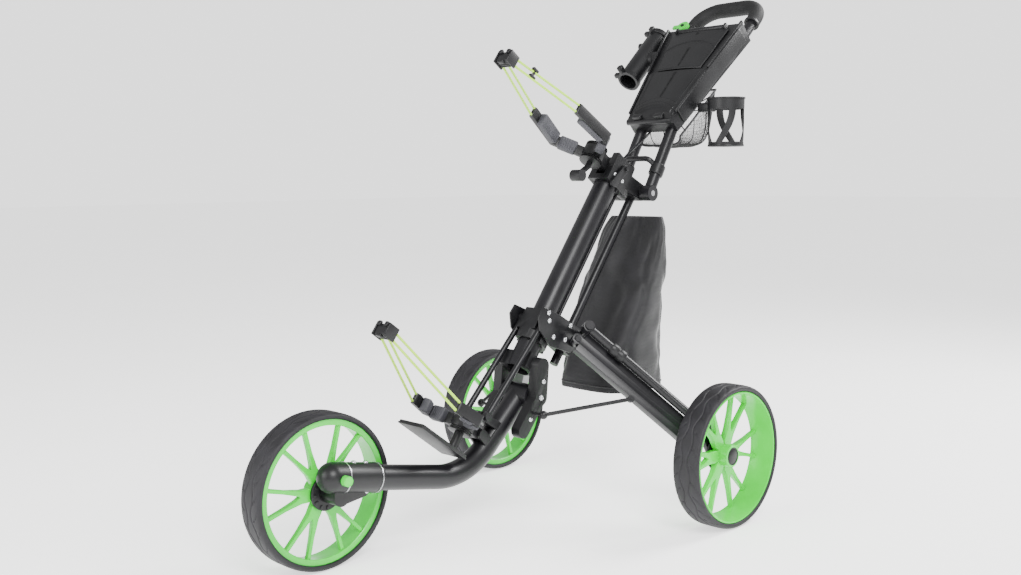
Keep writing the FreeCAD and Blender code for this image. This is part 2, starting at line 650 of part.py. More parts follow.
upperX, upperZ = fromMast(size("upper_cradle_ahead"), size("upper_cradle_rise"))
upperSpot = place(upperX, 0, upperZ, MAST.Rotation)
lowerSpot = place(lowerPivot[0], 0, lowerPivot[1], MAST.Rotation)
cradle("upper", upperSpot, size("upper_cradle_reach"), 96, (351, -8))
cradle("lower", lowerSpot, size("lower_cradle_reach"), 78, (305, 47))
hubAhead = size("cradle_hub_ahead")
brace = fuse(shaft((hubAhead, 0, -size("cradle_hub_half")), (hubAhead, 0, -34), 6),
             shaft((hubAhead, 0, -32), (hubAhead + 14, 0, -62), 6),
             shaft((hubAhead + 14, -13, -64), (hubAhead + 14, 13, -64), 12))
settle(brace, "cradle_brace", upperSpot)
base = fuse(box("132", "70", "6", (94, 0, -61)),
            shaft((hubAhead, 0, -size("cradle_hub_half")), (hubAhead, 0, -60), 9))
settle(base, "cradle_base_plate", lowerSpot)

# ---------------------------------------------------------------- handle
handleX, handleZ = fromMast(-size("handle_pivot_back"), size("handle_pivot_rise"))
HANDLE = place(handleX - size("handle_knee_back"), 0, handleZ + size("handle_knee_up"),
               Rotation(Vector(0, 1, 0), -size("handle_lean")))
eye = HANDLE.inverse().multVec(GROUND.multVec(Vector(handleX, 0, handleZ)))
out, grip, reach = size("handle_tube_out"), size("grip_out"), size("handle_length")
side = [(eye.x, out, eye.z), (0, out, 0), (5, grip, 200), (5, grip, reach)]
handleRoute = side + [(x, -y, z) for x, y, z in reversed(side)]
gripRoute = [(5, grip, 322), (5, grip, reach), (5, -grip, reach), (5, -grip, 322)]
bend = 50


def handlePipe(radius):
    return pipe(handleRoute, radius, bend)


eyes = [shaft((eye.x, s * out - 13, eye.z), (eye.x, s * out + 13, eye.z), 17) for s in (1, -1)]
crossbar = pipe([(-37, out, -121), (-8, 30, -121), (-8, -30, -121), (-37, -out, -121)], 6, 14)
pinBore = shaft((eye.x, -100, eye.z), (eye.x, 100, eye.z), "fold_pin_radius")
settle(cut(fuse(handlePipe("handle_tube_radius"), *eyes, crossbar), pinBore), "handle_frame", HANDLE)
foamGrip = cut(pipe(gripRoute, "grip_radius", bend), pipe(gripRoute, "handle_tube_radius", bend))
settle(foamGrip, "handle_grip", HANDLE)

# The console is a tapered tray over both tubes, with a lidded pocket at its upper end.
consoleLow, face = -33, 29
consoleTurn = Rotation(Vector(0, 1, 0), Vector(0, 0, 1), Vector(1, 0, 0), "XYZ")
shell = wedge(("122", "-9", "29"), ("2 * console_out + 22", "45 - console_depth", "45"), "console_length",
              Placement(Vector(0, 0, consoleLow), consoleTurn))
tilt = math.degrees(math.atan2(16, size("console_length")))
faceAt = Placement(Vector(face, 0, consoleLow), Rotation(Vector(0, 1, 0), tilt))
lipBar = shaft((face - 6, -61, consoleLow), (face - 6, 61, consoleLow), 7)
pocket = moved(box("24", "116", "100", (-8, 0, 218)), faceAt)
hollow = moved(box("18", "84", "110", (-5, 0, 82)), faceAt)
lugs = [moved(box("16", "6", "14", (4, s * 66, 286)), faceAt) for s in (1, -1)]
lidPin = moved(shaft((6, -66, 286), (6, 66, 286), "lid_pin_radius"), faceAt)
console = cut(fuse(cut(shell, pocket, hollow), lipBar, *lugs, lidPin), handlePipe("handle_tube_radius"))
settle(console, "console", HANDLE)
panel = box("4", "124", "118", (2.5, 0, 218))
barrel = shaft((6, -62, 286), (6, 62, 286), 5)
bore = shaft((6, -70, 286), (6, 70, 286), "lid_pin_radius + running_gap")
neck = box("4", "60", "14", (2.5, 0, 280))
settle(cut(fuse(panel, barrel, neck), bore), "console_lid", HANDLE.multiply(faceAt))

# brake lever on the right tube, above the console
seat = (5, -grip, 298)
collar = cut(fuse(box("40", "38", "24", (seat[0] + 4, seat[1], seat[2])),
                  shaft((24, seat[1], 298), (40, seat[1], 298), "4")),
             handlePipe("handle_tube_radius"))
settle(collar, "brake_bracket", HANDLE)
dial = fuse(shaft((29.4, seat[1], 298), (38, seat[1], 298), 15), box("6", "36", "10", (34, seat[1] - 10, 298)))
settle(cut(dial, shaft((20, seat[1], 298), (60, seat[1], 298), "4 + running_gap")), "brake_lever", HANDLE)

# The brake cable leaves the bracket, runs under the console and enters the top of the upper joint.
jointTop = fromMast(-20, size("mast_top") + 61)
entry = HANDLE.inverse().multVec(GROUND.multVec(Vector(jointTop[0], -14, jointTop[1])))
cableRoute = [(-8, -69, 286), (-13, -62, 238), (-17, -46, 186), (-18, -36, 132), (-18, -30, 78), (-17, -26, 24),
              (-15, -22, -30), (-1, -18, -80), (11.5, -15, -130), tuple(entry)]
settle(pipe(cableRoute, "cord_radius"), "brake_cable", HANDLE)
print("cable radii", [round(r, 1) for r in route(cableRoute)[1]], "length", round(route(cableRoute)[0].Length))

# umbrella holder: a tube beside the console that tilts on a ratchet disc
holderOut = -size("umbrella_out")
ratchet = shaft((30, -88, 184), (30, holderOut + 32, 184), 18)
ratchet = fuse(ratchet, shaft((30, holderOut + 32, 184), (30, holderOut + 22, 184), "5"))
settle(cut(ratchet, shell), "umbrella_bracket", HANDLE)
middle, halfLength = 184, size("umbrella_length") / 2
holder = cut(fuse(shaft((34, holderOut, middle - halfLength), (34, holderOut, middle + halfLength),
                        "umbrella_bore + umbrella_wall"),
                  shaft((30, holderOut + 18, middle), (30, holderOut + 31.6, middle), 18),
                  shaft((34, holderOut - 20, middle + 50), (34, holderOut - 40, middle + 50), 9)),
             shaft((34, holderOut, middle - halfLength - 1), (34, holderOut, middle + halfLength + 1), "umbrella_bore"),
             shaft((30, holderOut + 10, middle), (30, holderOut + 40, middle), "5 + running_gap"))
settle(holder, "umbrella_holder", HANDLE)

# cup holder, upright beside the console
cupX, cupOut, cupTop = -245, 150, 850
cupTurn = HANDLE.inverse().multiply(GROUND)
cup = cylinder("cup_radius", "cup_depth", (cupX, cupOut, "%d - cup_depth" % cupTop))
cupArm = box("44", "70", "26", (cupX, cupOut - size("cup_radius") - 10, cupTop - 24))
cupSpace = cylinder("cup_radius - cup_wall", "cup_depth", (cupX, cupOut, "%d - cup_depth + cup_wall" % cupTop))
cup = cut(fuse(cup, cupArm), cupSpace)
consoleHere = wedge(("122", "-9", "29"), ("2 * console_out + 22", "45 - console_depth", "45"), "console_length",
                    Placement(Vector(0, 0, consoleLow), consoleTurn))
consoleHere.Placement = cupTurn.inverse().multiply(consoleHere.Placement)
tubesHere = handlePipe("handle_tube_radius")
tubesHere.Placement = cupTurn.inverse().multiply(tubesHere.Placement)
settle(cut(cup, consoleHere, tubesHere), "cup_holder", GROUND)

# mesh basket: an open bag of netting under the console
basketOutline = [(-206, 768), (-196, 748), (-318, 745), (-338, 878)]
basketInside = [(-206, 790), (-199, 751), (-315, 748), (-334, 900)]
basket = cut(plate(basketOutline, -62, 62), plate(basketInside, -59, 59))
settle(basket, "mesh_basket", GROUND)

# ---------------------------------------------------------------- cam latch, bag and brake cable
latch = cut(capsule((0, size("mast_top") + 39), (12, size("mast_top") - 6), 9, 28.4, 36),
            cylinder("cradle_pin_radius + running_gap", "30", (0, 20, "mast_top + 39"), "y"))
settle(latch, "cam_latch", MAST)
low, high, half = size("bag_bottom"), size("bag_top"), size("bag_width") / 2
bagOutline = [(-112, high + 2), (-138, high - 1), (-135, 300), (-125, low), (50, low + 3), (40, 330)]
bag = plate(bagOutline, -half, half)
settle(bag, "bag", GROUND)

# ---------------------------------------------------------------- checks and files
doc.recompute()
for thing in doc.Objects:
    failed = [state for state in thing.State if state in ("Invalid", "Error")]
    if failed:
        raise RuntimeError("%s (%s) did not build: %s" % (thing.Label, thing.Name, failed))
os.makedirs("parts", exist_ok=True)
for part in PARTS:
    if part.Shape.isNull() or not part.Shape.isValid() or not part.Shape.Solids:
        raise RuntimeError("%s has no valid solid" % part.Label)
for part in PARTS:
    part.Shape.exportStep("parts/%s.step" % part.Label)
print(len(PARTS), "sub-parts written")
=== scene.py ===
import bmesh
import bpy
import json
import math
from mathutils import Matrix, Vector, noise


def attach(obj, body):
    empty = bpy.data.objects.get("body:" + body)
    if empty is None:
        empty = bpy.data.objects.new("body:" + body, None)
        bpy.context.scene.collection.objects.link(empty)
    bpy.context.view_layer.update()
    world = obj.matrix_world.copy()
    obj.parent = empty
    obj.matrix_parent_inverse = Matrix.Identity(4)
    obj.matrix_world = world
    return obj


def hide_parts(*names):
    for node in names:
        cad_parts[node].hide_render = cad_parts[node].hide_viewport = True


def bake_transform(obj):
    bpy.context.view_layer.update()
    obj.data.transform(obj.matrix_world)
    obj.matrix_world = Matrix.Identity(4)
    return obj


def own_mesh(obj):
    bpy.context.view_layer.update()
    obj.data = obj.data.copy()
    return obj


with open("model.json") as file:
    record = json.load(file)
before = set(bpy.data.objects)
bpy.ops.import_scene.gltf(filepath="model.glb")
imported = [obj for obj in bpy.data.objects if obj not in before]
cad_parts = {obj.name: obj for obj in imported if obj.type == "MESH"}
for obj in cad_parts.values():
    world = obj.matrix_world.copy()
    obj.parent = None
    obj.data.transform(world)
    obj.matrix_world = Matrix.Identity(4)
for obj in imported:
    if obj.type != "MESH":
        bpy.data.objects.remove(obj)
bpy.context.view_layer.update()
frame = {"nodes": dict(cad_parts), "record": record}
nodes = frame["nodes"]
record = frame["record"]
bodyOf = {node: body for body, members in record["behaviour"]["bodies"].items() for node in members}
slotOf = {part["node"]: part["material_slot"] for part in record["subparts"]}
print("frame loaded:", len(nodes), "nodes")

# places: lengths in millimetres from the rear axle, turned into metres in the part's frame
trolley = {
    "originAheadOfAxle": 161.1,
    "mastLean": 36.8,
    "mastFoot": (280, 0, 262),
    "handleLean": 47,
    "handleKnee": (-211.92, 0, 809.66),
    "upperCradle": (28, 0, 531),
    "lowerCradle": (25, 0, -104),
}


def ground(ahead, out, up):
    return Vector((ahead - trolley["originAheadOfAxle"], out, up)) / 1000


leanTurn = Matrix.Rotation(-math.radians(trolley["mastLean"]), 4, "Y")
mastFrame = Matrix.Translation(ground(*trolley["mastFoot"])) @ leanTurn
handleTurn = Matrix.Rotation(-math.radians(trolley["handleLean"]), 4, "Y")
handleFrame = Matrix.Translation(ground(*trolley["handleKnee"])) @ handleTurn
upperFrame = Matrix.Translation(mastFrame @ (Vector(trolley["upperCradle"]) / 1000)) @ leanTurn
lowerFrame = Matrix.Translation(mastFrame @ (Vector(trolley["lowerCradle"]) / 1000)) @ leanTurn


def inFrame(matrix, points):
    return [matrix @ (Vector(point) / 1000) for point in points]


def axisFrame(start, end):
    turn = (end - start).to_track_quat("Z", "Y").to_matrix().to_4x4()
    return Matrix.Translation(start) @ turn


# camera: fitted to the photo's view
camera = {"place": (1784.6, 1529.9, 682.7), "yaw": -134.775, "pitch": -5.668, "roll": -0.598, "lens": 38.95}
yaw, pitch, roll = (math.radians(camera[word]) for word in ("yaw", "pitch", "roll"))
ahead = Vector((math.cos(pitch) * math.cos(yaw), math.cos(pitch) * math.sin(yaw), math.sin(pitch)))
level = ahead.cross(Vector((0, 0, 1))).normalized()
right = level * math.cos(roll) + level.cross(ahead) * math.sin(roll)
upward = right.cross(ahead)
cameraData = bpy.data.cameras.new("camera")
cameraData.lens = camera["lens"]
cameraData.sensor_width = 36
cameraObject = bpy.data.objects.new("camera", cameraData)
bpy.context.scene.collection.objects.link(cameraObject)
turned = Matrix((right, upward, -ahead)).transposed().to_4x4()
cameraObject.matrix_world = Matrix.Translation(ground(*camera["place"])) @ turned
bpy.context.scene.camera = cameraObject
print("camera placed")


# materials
def linearColour(code):
    shades = [int(code[i:i + 2], 16) / 255 for i in (1, 3, 5)]
    return tuple(s / 12.92 if s <= 0.04045 else ((s + 0.055) / 1.055) ** 2.4 for s in shades) + (1,)


def addNode(tree, kind, settings=None, links=None):
    node = tree.nodes.new(kind)
    for name, value in (settings or {}).items():
        if isinstance(name, str) and hasattr(node, name):
            setattr(node, name, value)
        else:
            node.inputs[name].default_value = value
    for name, socket in (links or {}).items():
        tree.links.new(socket, node.inputs[name])
    return node


def startMaterial(name, roughness, metallic=0.0, **sockets):
    material = bpy.data.materials.new(name)
    material.use_nodes = True
    tree = material.node_tree
    shader = tree.nodes["Principled BSDF"]
    shader.inputs["Roughness"].default_value = roughness
    shader.inputs["Metallic"].default_value = metallic
    shader.inputs["IOR"].default_value = 1.5
    shader.inputs["Specular IOR Level"].default_value = 0.5 if metallic else 0.36
    for socket, value in sockets.items():
        shader.inputs[socket.replace("_", " ")].default_value = value
    place = addNode(tree, "ShaderNodeTexCoord")
    return material, tree, shader, place.outputs["Object"]


def mottled(tree, shader, place, dark, light, patch, share=(0.35, 0.7)):
    # colour that drifts between two shades over patches of that size in millimetres
    cloud = addNode(tree, "ShaderNodeTexNoise", {"Scale": 1000 / patch, "Detail": 6, "Roughness": 0.6},
                    {"Vector": place})
    ramp = addNode(tree, "ShaderNodeValToRGB", links={"Fac": cloud.outputs["Fac"]})
    ramp.color_ramp.elements[0].position, ramp.color_ramp.elements[1].position = share
    ramp.color_ramp.elements[0].color = linearColour(dark)
    ramp.color_ramp.elements[1].color = linearColour(light)
    tree.links.new(ramp.outputs["Color"], shader.inputs["Base Color"])
    return cloud


def grained(name, dark, light, patch, grain, depth, roughness, spread, strength=0.5, **sockets):
    # a mottled colour, a fine grain in the surface and a roughness that varies with the colour's patches
    material, tree, shader, place = startMaterial(name, roughness, **sockets)
    cloud = mottled(tree, shader, place, dark, light, patch)
    rough = addNode(tree, "ShaderNodeMapRange", {"To Min": roughness - spread, "To Max": roughness + spread},
                    {"Value": cloud.outputs["Fac"]})
    tree.links.new(rough.outputs["Result"], shader.inputs["Roughness"])
    fine = addNode(tree, "ShaderNodeTexNoise", {"Scale": 1000 / grain, "Detail": 3, "Roughness": 0.55},
                   {"Vector": place})
    bump = addNode(tree, "ShaderNodeBump", {"Distance": depth / 1000, "Strength": strength},
                   {"Height": fine.outputs["Fac"]})
    tree.links.new(bump.outputs["Normal"], shader.inputs["Normal"])
    return material


finishes = {}
# powder-coated aluminium: satin black with a slight violet cast and a soft orange peel about 1.5 mm across
finishes["black_metal"] = grained("powderCoatedAluminium", "#0c0c0e", "#17161a", 90, 1.5, 0.05, 0.36, 0.06,
                                  0.35)
# spark-eroded ABS: black moulding with a fine stipple about 0.8 mm, a little duller than the tubes
finishes["black_plastic"] = grained("mouldedAbs", "#0b0b0d", "#151517", 60, 0.8, 0.06, 0.42, 0.08, 0.45)
# glass-filled nylon: the brake drums behind the wheels, dull black
finishes["grey_plastic"] = grained("glassFilledNylon", "#0d0d0f", "#18181a", 30, 0.7, 0.05, 0.5, 0.08)
# dyed polypropylene: spring green wheels under a thin clear coat, with faint flow marks
finishes["rim_green"] = grained("greenPolypropylene", "#1fbf22", "#33d633", 120, 3.0, 0.02, 0.3, 0.05, 0.25,
                                Coat_Weight=0.2, Coat_Roughness=0.2)
finishes["green_plastic"] = grained("greenAbsKnob", "#1fb527", "#3fd842", 25, 1.0, 0.03, 0.34, 0.05, 0.35)
# moulded EVA tyre: matt charcoal with a fine skin and paler rubbed patches
finishes["tyre"] = grained("mouldedEvaTyre", "#141316", "#222125", 40, 0.9, 0.12, 0.6, 0.1, 0.6)
# thermoplastic elastomer pads: soft dark grey, matt
finishes["pad"] = grained("elastomerPad", "#38383d", "#47474c", 25, 0.8, 0.05, 0.6, 0.08, 0.4)
# zinc-plated steel: bright screws with a light brushed haze
finishes["steel"] = grained("zincPlatedSteel", "#b9babd", "#d8d9db", 6, 0.5, 0.02, 0.27, 0.08, 0.3,
                            metallic=1.0)
# EVA foam grip: closed cells about 0.9 mm, matt black
finishes["foam"] = grained("evaFoamGrip", "#0e0e10", "#191919", 20, 0.9, 0.2, 0.72, 0.08, 0.7)

# polyester net: thin black cords, slightly shiny filaments
finishes["net"] = grained("polyesterNet", "#0a0a0b", "#151517", 5, 0.4, 0.05, 0.55, 0.1)

# nylon cloth: crossed ripples about 10 and 20 mm apart, far coarser than the real weave of about 0.5 mm
material, tree, shader, place = startMaterial("wovenNylon600", 0.62, Sheen_Weight=0.25, Sheen_Roughness=0.45)
mottled(tree, shader, place, "#0d0d0f", "#19181c", 70)
ripples = {"weft": 31.25, "warp": 1000 / 56}
weft = addNode(tree, "ShaderNodeTexWave", {"bands_direction": "Z", "Scale": ripples["weft"], "Distortion": 0.4,
                                          "Detail": 1}, {"Vector": place})
warp = addNode(tree, "ShaderNodeTexWave", {"bands_direction": "DIAGONAL", "Scale": ripples["warp"],
                                          "Distortion": 0.4, "Detail": 1}, {"Vector": place})
weave = addNode(tree, "ShaderNodeMath", {"operation": "MULTIPLY"},
                {0: weft.outputs["Fac"], 1: warp.outputs["Fac"]})
bump = addNode(tree, "ShaderNodeBump", {"Distance": 0.00025, "Strength": 0.6},
               {"Height": weave.outputs["Value"]})
tree.links.new(bump.outputs["Normal"], shader.inputs["Normal"])
finishes["nylon"] = material

# braided bungee: bright yellow-green sheath, strands about 1.2 mm, with painted shade darkening the gaps
# between them
material, tree, shader, place = startMaterial("braidedBungee", 0.5, Sheen_Weight=0.3)
strands = addNode(tree, "ShaderNodeTexVoronoi", {"Scale": 1000 / 1.2}, {"Vector": place})
# painted shade: the colour goes from bright strand centres to a darker green at the strand edges
ramp = addNode(tree, "ShaderNodeValToRGB", links={"Fac": strands.outputs["Distance"]})
ramp.color_ramp.elements[0].color = linearColour("#c8f53a")
ramp.color_ramp.elements[1].color = linearColour("#93cc1c")
tree.links.new(ramp.outputs["Color"], shader.inputs["Base Color"])
bump = addNode(tree, "ShaderNodeBump", {"Distance": 0.0004, "Strength": 0.5},
               {"Height": strands.outputs["Distance"]})
tree.links.new(bump.outputs["Normal"], shader.inputs["Normal"])
finishes["cord"] = material

# PVC cable housing: smooth black with a faint ripple
finishes["cable"] = grained("pvcCableHousing", "#121214", "#1f1f22", 30, 2.0, 0.03, 0.4, 0.06, 0.3)

for name, node in nodes.items():
    node.data.materials.clear()
    finish = {"brake_cable": "cable", "guide_rails": "black_metal", "stay_rod_left": "black_metal",
              "stay_rod_right": "black_metal", "hub_hinge_studs": "black_metal"}.get(name, slotOf[name])
    node.data.materials.append(finishes[finish])
print("materials:", len(bpy.data.materials))


# pieces are made and named here
def newPiece(name, shape, slot, body, stands=(), smooth=35, material=None):
    mesh = shape
    if isinstance(shape, bmesh.types.BMesh):
        mesh = bpy.data.meshes.new(name)
        shape.to_mesh(mesh)
        shape.free()
    piece = bpy.data.objects.new(name, mesh)
    bpy.context.scene.collection.objects.link(piece)
    mesh.materials.clear()
    mesh.materials.append(material or finishes[slot])
    mesh.polygons.foreach_set("use_smooth", [True] * len(mesh.polygons))
    mesh.set_sharp_from_angle(angle=math.radians(smooth))
    if body:
        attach(piece, body)
    if stands:
        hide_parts(*stands)
    return piece


def spun(profile, matrix, steps=48, closed=True):
    # a bmesh turned about the frame's Z axis from (radius, height) pairs in millimetres
    shape = bmesh.new()
    rail = [shape.verts.new((r / 1000, 0, z / 1000)) for r, z in profile]
    edges = [shape.edges.new(pair) for pair in zip(rail, rail[1:] + rail[:1] if closed else rail[1:])]
    bmesh.ops.spin(shape, geom=rail + edges, cent=(0, 0, 0), axis=(0, 0, 1), angle=2 * math.pi, steps=steps,
                   use_merge=True)
    bmesh.ops.remove_doubles(shape, verts=shape.verts, dist=1e-5)
    bmesh.ops.recalc_face_normals(shape, faces=shape.faces)
    bmesh.ops.transform(shape, matrix=matrix, verts=shape.verts)
    return shape


def joined(shapes):
    whole = bmesh.new()
    for shape in shapes:
        mesh = bpy.data.meshes.new("part")
        shape.to_mesh(mesh)
        shape.free()
        whole.from_mesh(mesh)
        bpy.data.meshes.remove(mesh)
    return whole


# cords first: the four bungee loops and the brake cable
def splineCurve(name, points, radius):
    data = bpy.data.curves.new(name, "CURVE")
    data.dimensions = "3D"
    data.resolution_u = 12
    spline = data.splines.new("NURBS")
    spline.points.add(len(points) - 1)
    for spot, point in zip(spline.points, points):
        spot.co = (*point, 1)
    spline.order_u = 3
    spline.use_endpoint_u = True
    data.bevel_depth = radius / 1000
    data.bevel_resolution = 5
    curve = bpy.data.objects.new(name, data)
    bpy.context.scene.collection.objects.link(curve)
    return curve


bungee = {
    "radius": 2.5,
    "upper": {"frame": upperFrame, "body": "upper_cradle", "reach": 186, "clip": (351, -8), "length": 0.350},
    "lower": {"frame": lowerFrame, "body": "lower_cradle", "reach": 125, "clip": (305, 47), "length": 0.390},
    "nearClip": 30,   # one point on each straight strand this far from the clip
}
for level in ("upper", "lower"):
    loop = bungee[level]
    for word, side in (("left", 1), ("right", -1)):
        near = Vector((loop["reach"] + 2, side * 62, 0))
        far = Vector((loop["clip"][0], side * 12, loop["clip"][1]))
        back = (near - far).normalized() * bungee["nearClip"]
        rise, wide = Vector((0, 0, 7)), Vector((0, 0, 8))
        route = [near + wide, far + rise + back, far + rise, far - rise, far - rise + back, near - wide]
        route = inFrame(loop["frame"], route)
        name = "bungee_%s_%s" % (level, word)
        curve = splineCurve(name, route, bungee["radius"])
        curve.data.materials.append(finishes["cord"])
        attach(curve, loop["body"])
        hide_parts("loop_%s_%s" % (level, word))

brakeCable = {"radius": 2.5, "length": 0.466}
cableRoute = [(-8, -69, 286), (-13, -62, 238), (-17, -46, 186), (-18, -36, 132), (-18, -30, 78), (-17, -26, 24),
              (-15, -22, -30), (-1, -18, -80), (11.5, -15, -130)]
cableRoute = inFrame(handleFrame, cableRoute) + inFrame(mastFrame, [(-20, -14, 567)])
middle = splineCurve("cableMiddle", cableRoute, 0)
middle.data.bevel_resolution = 0
cablePath = [vertex.co.copy() for vertex in bpy.data.meshes.new_from_object(middle).vertices]
bpy.data.objects.remove(middle)
thick = splineCurve("cableThick", cableRoute, brakeCable["radius"])
cable = newPiece("brake_cable_housing", bpy.data.meshes.new_from_object(thick), "black_plastic", None,
                 ["brake_cable"], material=finishes["cable"])
bpy.data.objects.remove(thick)
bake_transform(cable)
print("cords: loops and cable")

# wheels: tyre, rim with spokes, hub cap and brake drum
wheels = {
    "front": {"spot": (690, -60, 140), "face": -1, "body": "front_wheel"},
    "left": {"spot": (0, 326, 140), "face": 1, "body": "left_wheel"},
    "right": {"spot": (0, -326, 140), "face": -1, "body": "right_wheel"},
}
tyreShape = {"radius": 140, "bead": 128.55, "half": 29, "steps": 480, "grooveWide": 2.4, "grooveDeep": 1.7,
             "waves": 14, "sipes": 28, "waveOut": 8.5, "waveSwing": 3.2, "treadFrom": 136.2, "shoulder": 12,
             "sipeEnd": 27.5, "sipeBend": 0.16}


def groove(distance, wide):
    share = abs(distance) / wide
    return max(0.0, 1 - share * share) if share < 1 else 0.0


def treadCut(turn, across):
    t = tyreShape
    wave = t["waveOut"] + t["waveSwing"] * math.sin(t["waves"] * turn)
    cut = max(groove(abs(across) - wave, t["grooveWide"] / 2 + 0.5), 0)
    side = 1 if across > 0 else -1
    if t["shoulder"] < abs(across) < t["sipeEnd"]:
        bend = t["sipeBend"] * ((abs(across) - t["shoulder"]) / 15) ** 1.6
        step = 2 * math.pi / t["sipes"]
        away = (turn + side * step / 4 - bend) % step
        away = min(away, step - away) * t["radius"]
        cut = max(cut, groove(away, t["grooveWide"] / 2 + 0.6))
    return cut * t["grooveDeep"]


def makeTyre(name, wheel, matrix):
    t = tyreShape
    outline = [(t["bead"], 25.6), (130.2, 27.9), (132.6, 28.8), (135, 28.7), (137, 27.4), (138.3, 25.2),
               (139, 22.8), (139.4, 20.4), (139.7, 18), (139.85, 15.8), (139.95, 13.6)]
    tread = [(140, 12 - 1.0 * k) for k in range(25)]
    profile = outline + tread + [(r, -z) for r, z in reversed(outline)]
    shape = spun(profile, Matrix.Identity(4), t["steps"])
    for vertex in shape.verts:
        radius = math.hypot(vertex.co.x, vertex.co.y)
        if radius > t["treadFrom"] / 1000:
            cut = treadCut(math.atan2(vertex.co.y, vertex.co.x), vertex.co.z * 1000) / 1000
            vertex.co.x *= 1 - cut / radius
            vertex.co.y *= 1 - cut / radius
    bmesh.ops.transform(shape, matrix=matrix, verts=shape.verts)
    newPiece("tread_" + name, shape, "tyre", wheel["body"], ["tyre_" + name], smooth=50)


spokeShape = {"arms": 6, "back": -0.020, "root": 0.015, "thinner": 0.006, "reach": 0.12, "edge": 0.0014}


def makeSpokes():
    # six V-shaped arms: an outline in the wheel's plane, raised and rounded
    s = spokeShape
    shape = bmesh.new()
    for arm in range(s["arms"]):
        middle = math.radians(360 / s["arms"] * arm)
        polar = [(17, -34), (30, -24), (48, -14.5), (80, -13.2), (120, -14.2), (120, -10.6), (84, -8.6),
                 (58, -4.2), (50, 0), (58, 4.2), (84, 8.6), (120, 10.6), (120, 14.2), (80, 13.2), (48, 14.5),
                 (30, 24), (17, 34)]
        ring = []
        for radius, angle in polar:
            turn = middle + math.radians(angle)
            spot = (radius * math.cos(turn) / 1000, radius * math.sin(turn) / 1000, s["back"])
            ring.append(shape.verts.new(spot))
        face = shape.faces.new(ring)
        lifted = bmesh.ops.extrude_face_region(shape, geom=[face])["geom"]
        for vertex in (item for item in lifted if isinstance(item, bmesh.types.BMVert)):
            radius = math.hypot(vertex.co.x, vertex.co.y)
            vertex.co.z = s["back"] + s["root"] - s["thinner"] * min(1, radius / s["reach"])
    bmesh.ops.recalc_face_normals(shape, faces=shape.faces)
    upright = [edge for edge in shape.edges if edge.calc_face_angle(0) > math.radians(40)
               and abs(edge.verts[0].co.z - edge.verts[1].co.z) < 0.004]
    bmesh.ops.bevel(shape, geom=upright, offset=s["edge"], segments=3, profile=0.5, affect="EDGES", material=-1)
    return shape


def makeRim(name, wheel, matrix):
    barrel = spun([(128.5, -23), (128.5, 24), (127.6, 26.2), (125.6, 27), (124, 26.2), (123.4, 24), (122.2, 12),
                   (119.5, -2), (118.2, -14), (117.6, -22), (118.6, -23)], Matrix.Identity(4), 128)
    hub = spun([(7.4, -22.5), (20, -22.5), (21, -21.5), (21, -3), (22.5, 8), (21.8, 12.6), (20.4, 13.8),
                (17.6, 13.8), (17, 13), (17, 8.8), (7.4, 8.8)], Matrix.Identity(4), 64)
    shape = joined([barrel, hub, makeSpokes()])
    bmesh.ops.transform(shape, matrix=matrix, verts=shape.verts)
    newPiece("wheel_" + name, shape, "rim_green", wheel["body"], ["rim_" + name], smooth=40)


def makeCap(name, wheel, matrix):
    dome = spun([(0, 16.4), (6, 16.2), (11, 15.4), (14, 14.2), (15.6, 13.2), (16.9, 12.8), (16.9, 9), (0, 9)],
                Matrix.Identity(4), 48, closed=False)
    ring = spun([(15.2, 13.6), (16.8, 14.2), (17.6, 13.9), (16.8, 12.4), (15.2, 12.4)], Matrix.Identity(4), 48)
    shape = joined([dome, ring])
    bmesh.ops.transform(shape, matrix=matrix, verts=shape.verts)
    newPiece("cap_" + name, shape, "black_plastic", wheel["body"], ["hub_cap_" + name], smooth=40)


drumShape = {"teeth": 12, "toothSpot": (0.026, 0, -0.0285), "tooth": (0.007, 0.004, 0.002), "edge": 0.0005}


def makeDrum(name, wheel, matrix):
    drum = spun([(9, -28), (30, -28), (32, -26.6), (32, -23.4), (31, -23.1), (9, -23.1)],
                Matrix.Identity(4), 72)
    teeth = []
    for k in range(drumShape["teeth"]):
        turn = Matrix.Rotation(math.radians(360 / drumShape["teeth"] * k), 4, "Z")
        turn = turn @ Matrix.Translation(drumShape["toothSpot"])
        tooth = bmesh.new()
        bmesh.ops.create_cube(tooth, size=1, matrix=turn @ Matrix.Diagonal((*drumShape["tooth"], 1)))
        bmesh.ops.bevel(tooth, geom=tooth.edges[:], offset=drumShape["edge"], segments=2, profile=0.5,
                        affect="EDGES", material=-1)
        teeth.append(tooth)
    shape = joined([drum] + teeth)
    bmesh.ops.transform(shape, matrix=matrix, verts=shape.verts)
    newPiece("drum_" + name, shape, "grey_plastic", wheel["body"], ["brake_disc_" + name], smooth=35)


for name, wheel in wheels.items():
    matrix = Matrix.Translation(ground(*wheel["spot"]))
    matrix = matrix @ Matrix.Rotation(math.radians(-90 * wheel["face"]), 4, "X")
    makeTyre(name, wheel, matrix)
    makeRim(name, wheel, matrix)
    makeCap(name, wheel, matrix)
    makeDrum(name, wheel, matrix)
print("wheels made")


# castings and mouldings: the CAD shapes with rounded edges
rounding = {
    "mast_fork": 1.6, "upper_joint": 2.0, "hub_plates": 0.8, "hub_block": 1.6, "cradle_bracket": 1.0,
    "front_sleeve": 1.6, "index_knob": 1.2, "leg_left": 1.8, "leg_right": 1.8,
    "wheel_carrier_left": 1.4, "wheel_carrier_right": 1.4, "brake_bracket": 1.6,
    "umbrella_bracket": 1.2, "brake_lever": 1.6, "umbrella_holder": 1.0,
    "cam_latch": 1.2, "cradle_hub_upper": 1.2, "cradle_hub_lower": 1.2, "cradle_arms_upper": 1.4,
    "cradle_arms_lower": 1.4, "cradle_brace": 1.2, "console": 3.0, "leg_strut_left": 0.8,
    "leg_strut_right": 0.8,
}


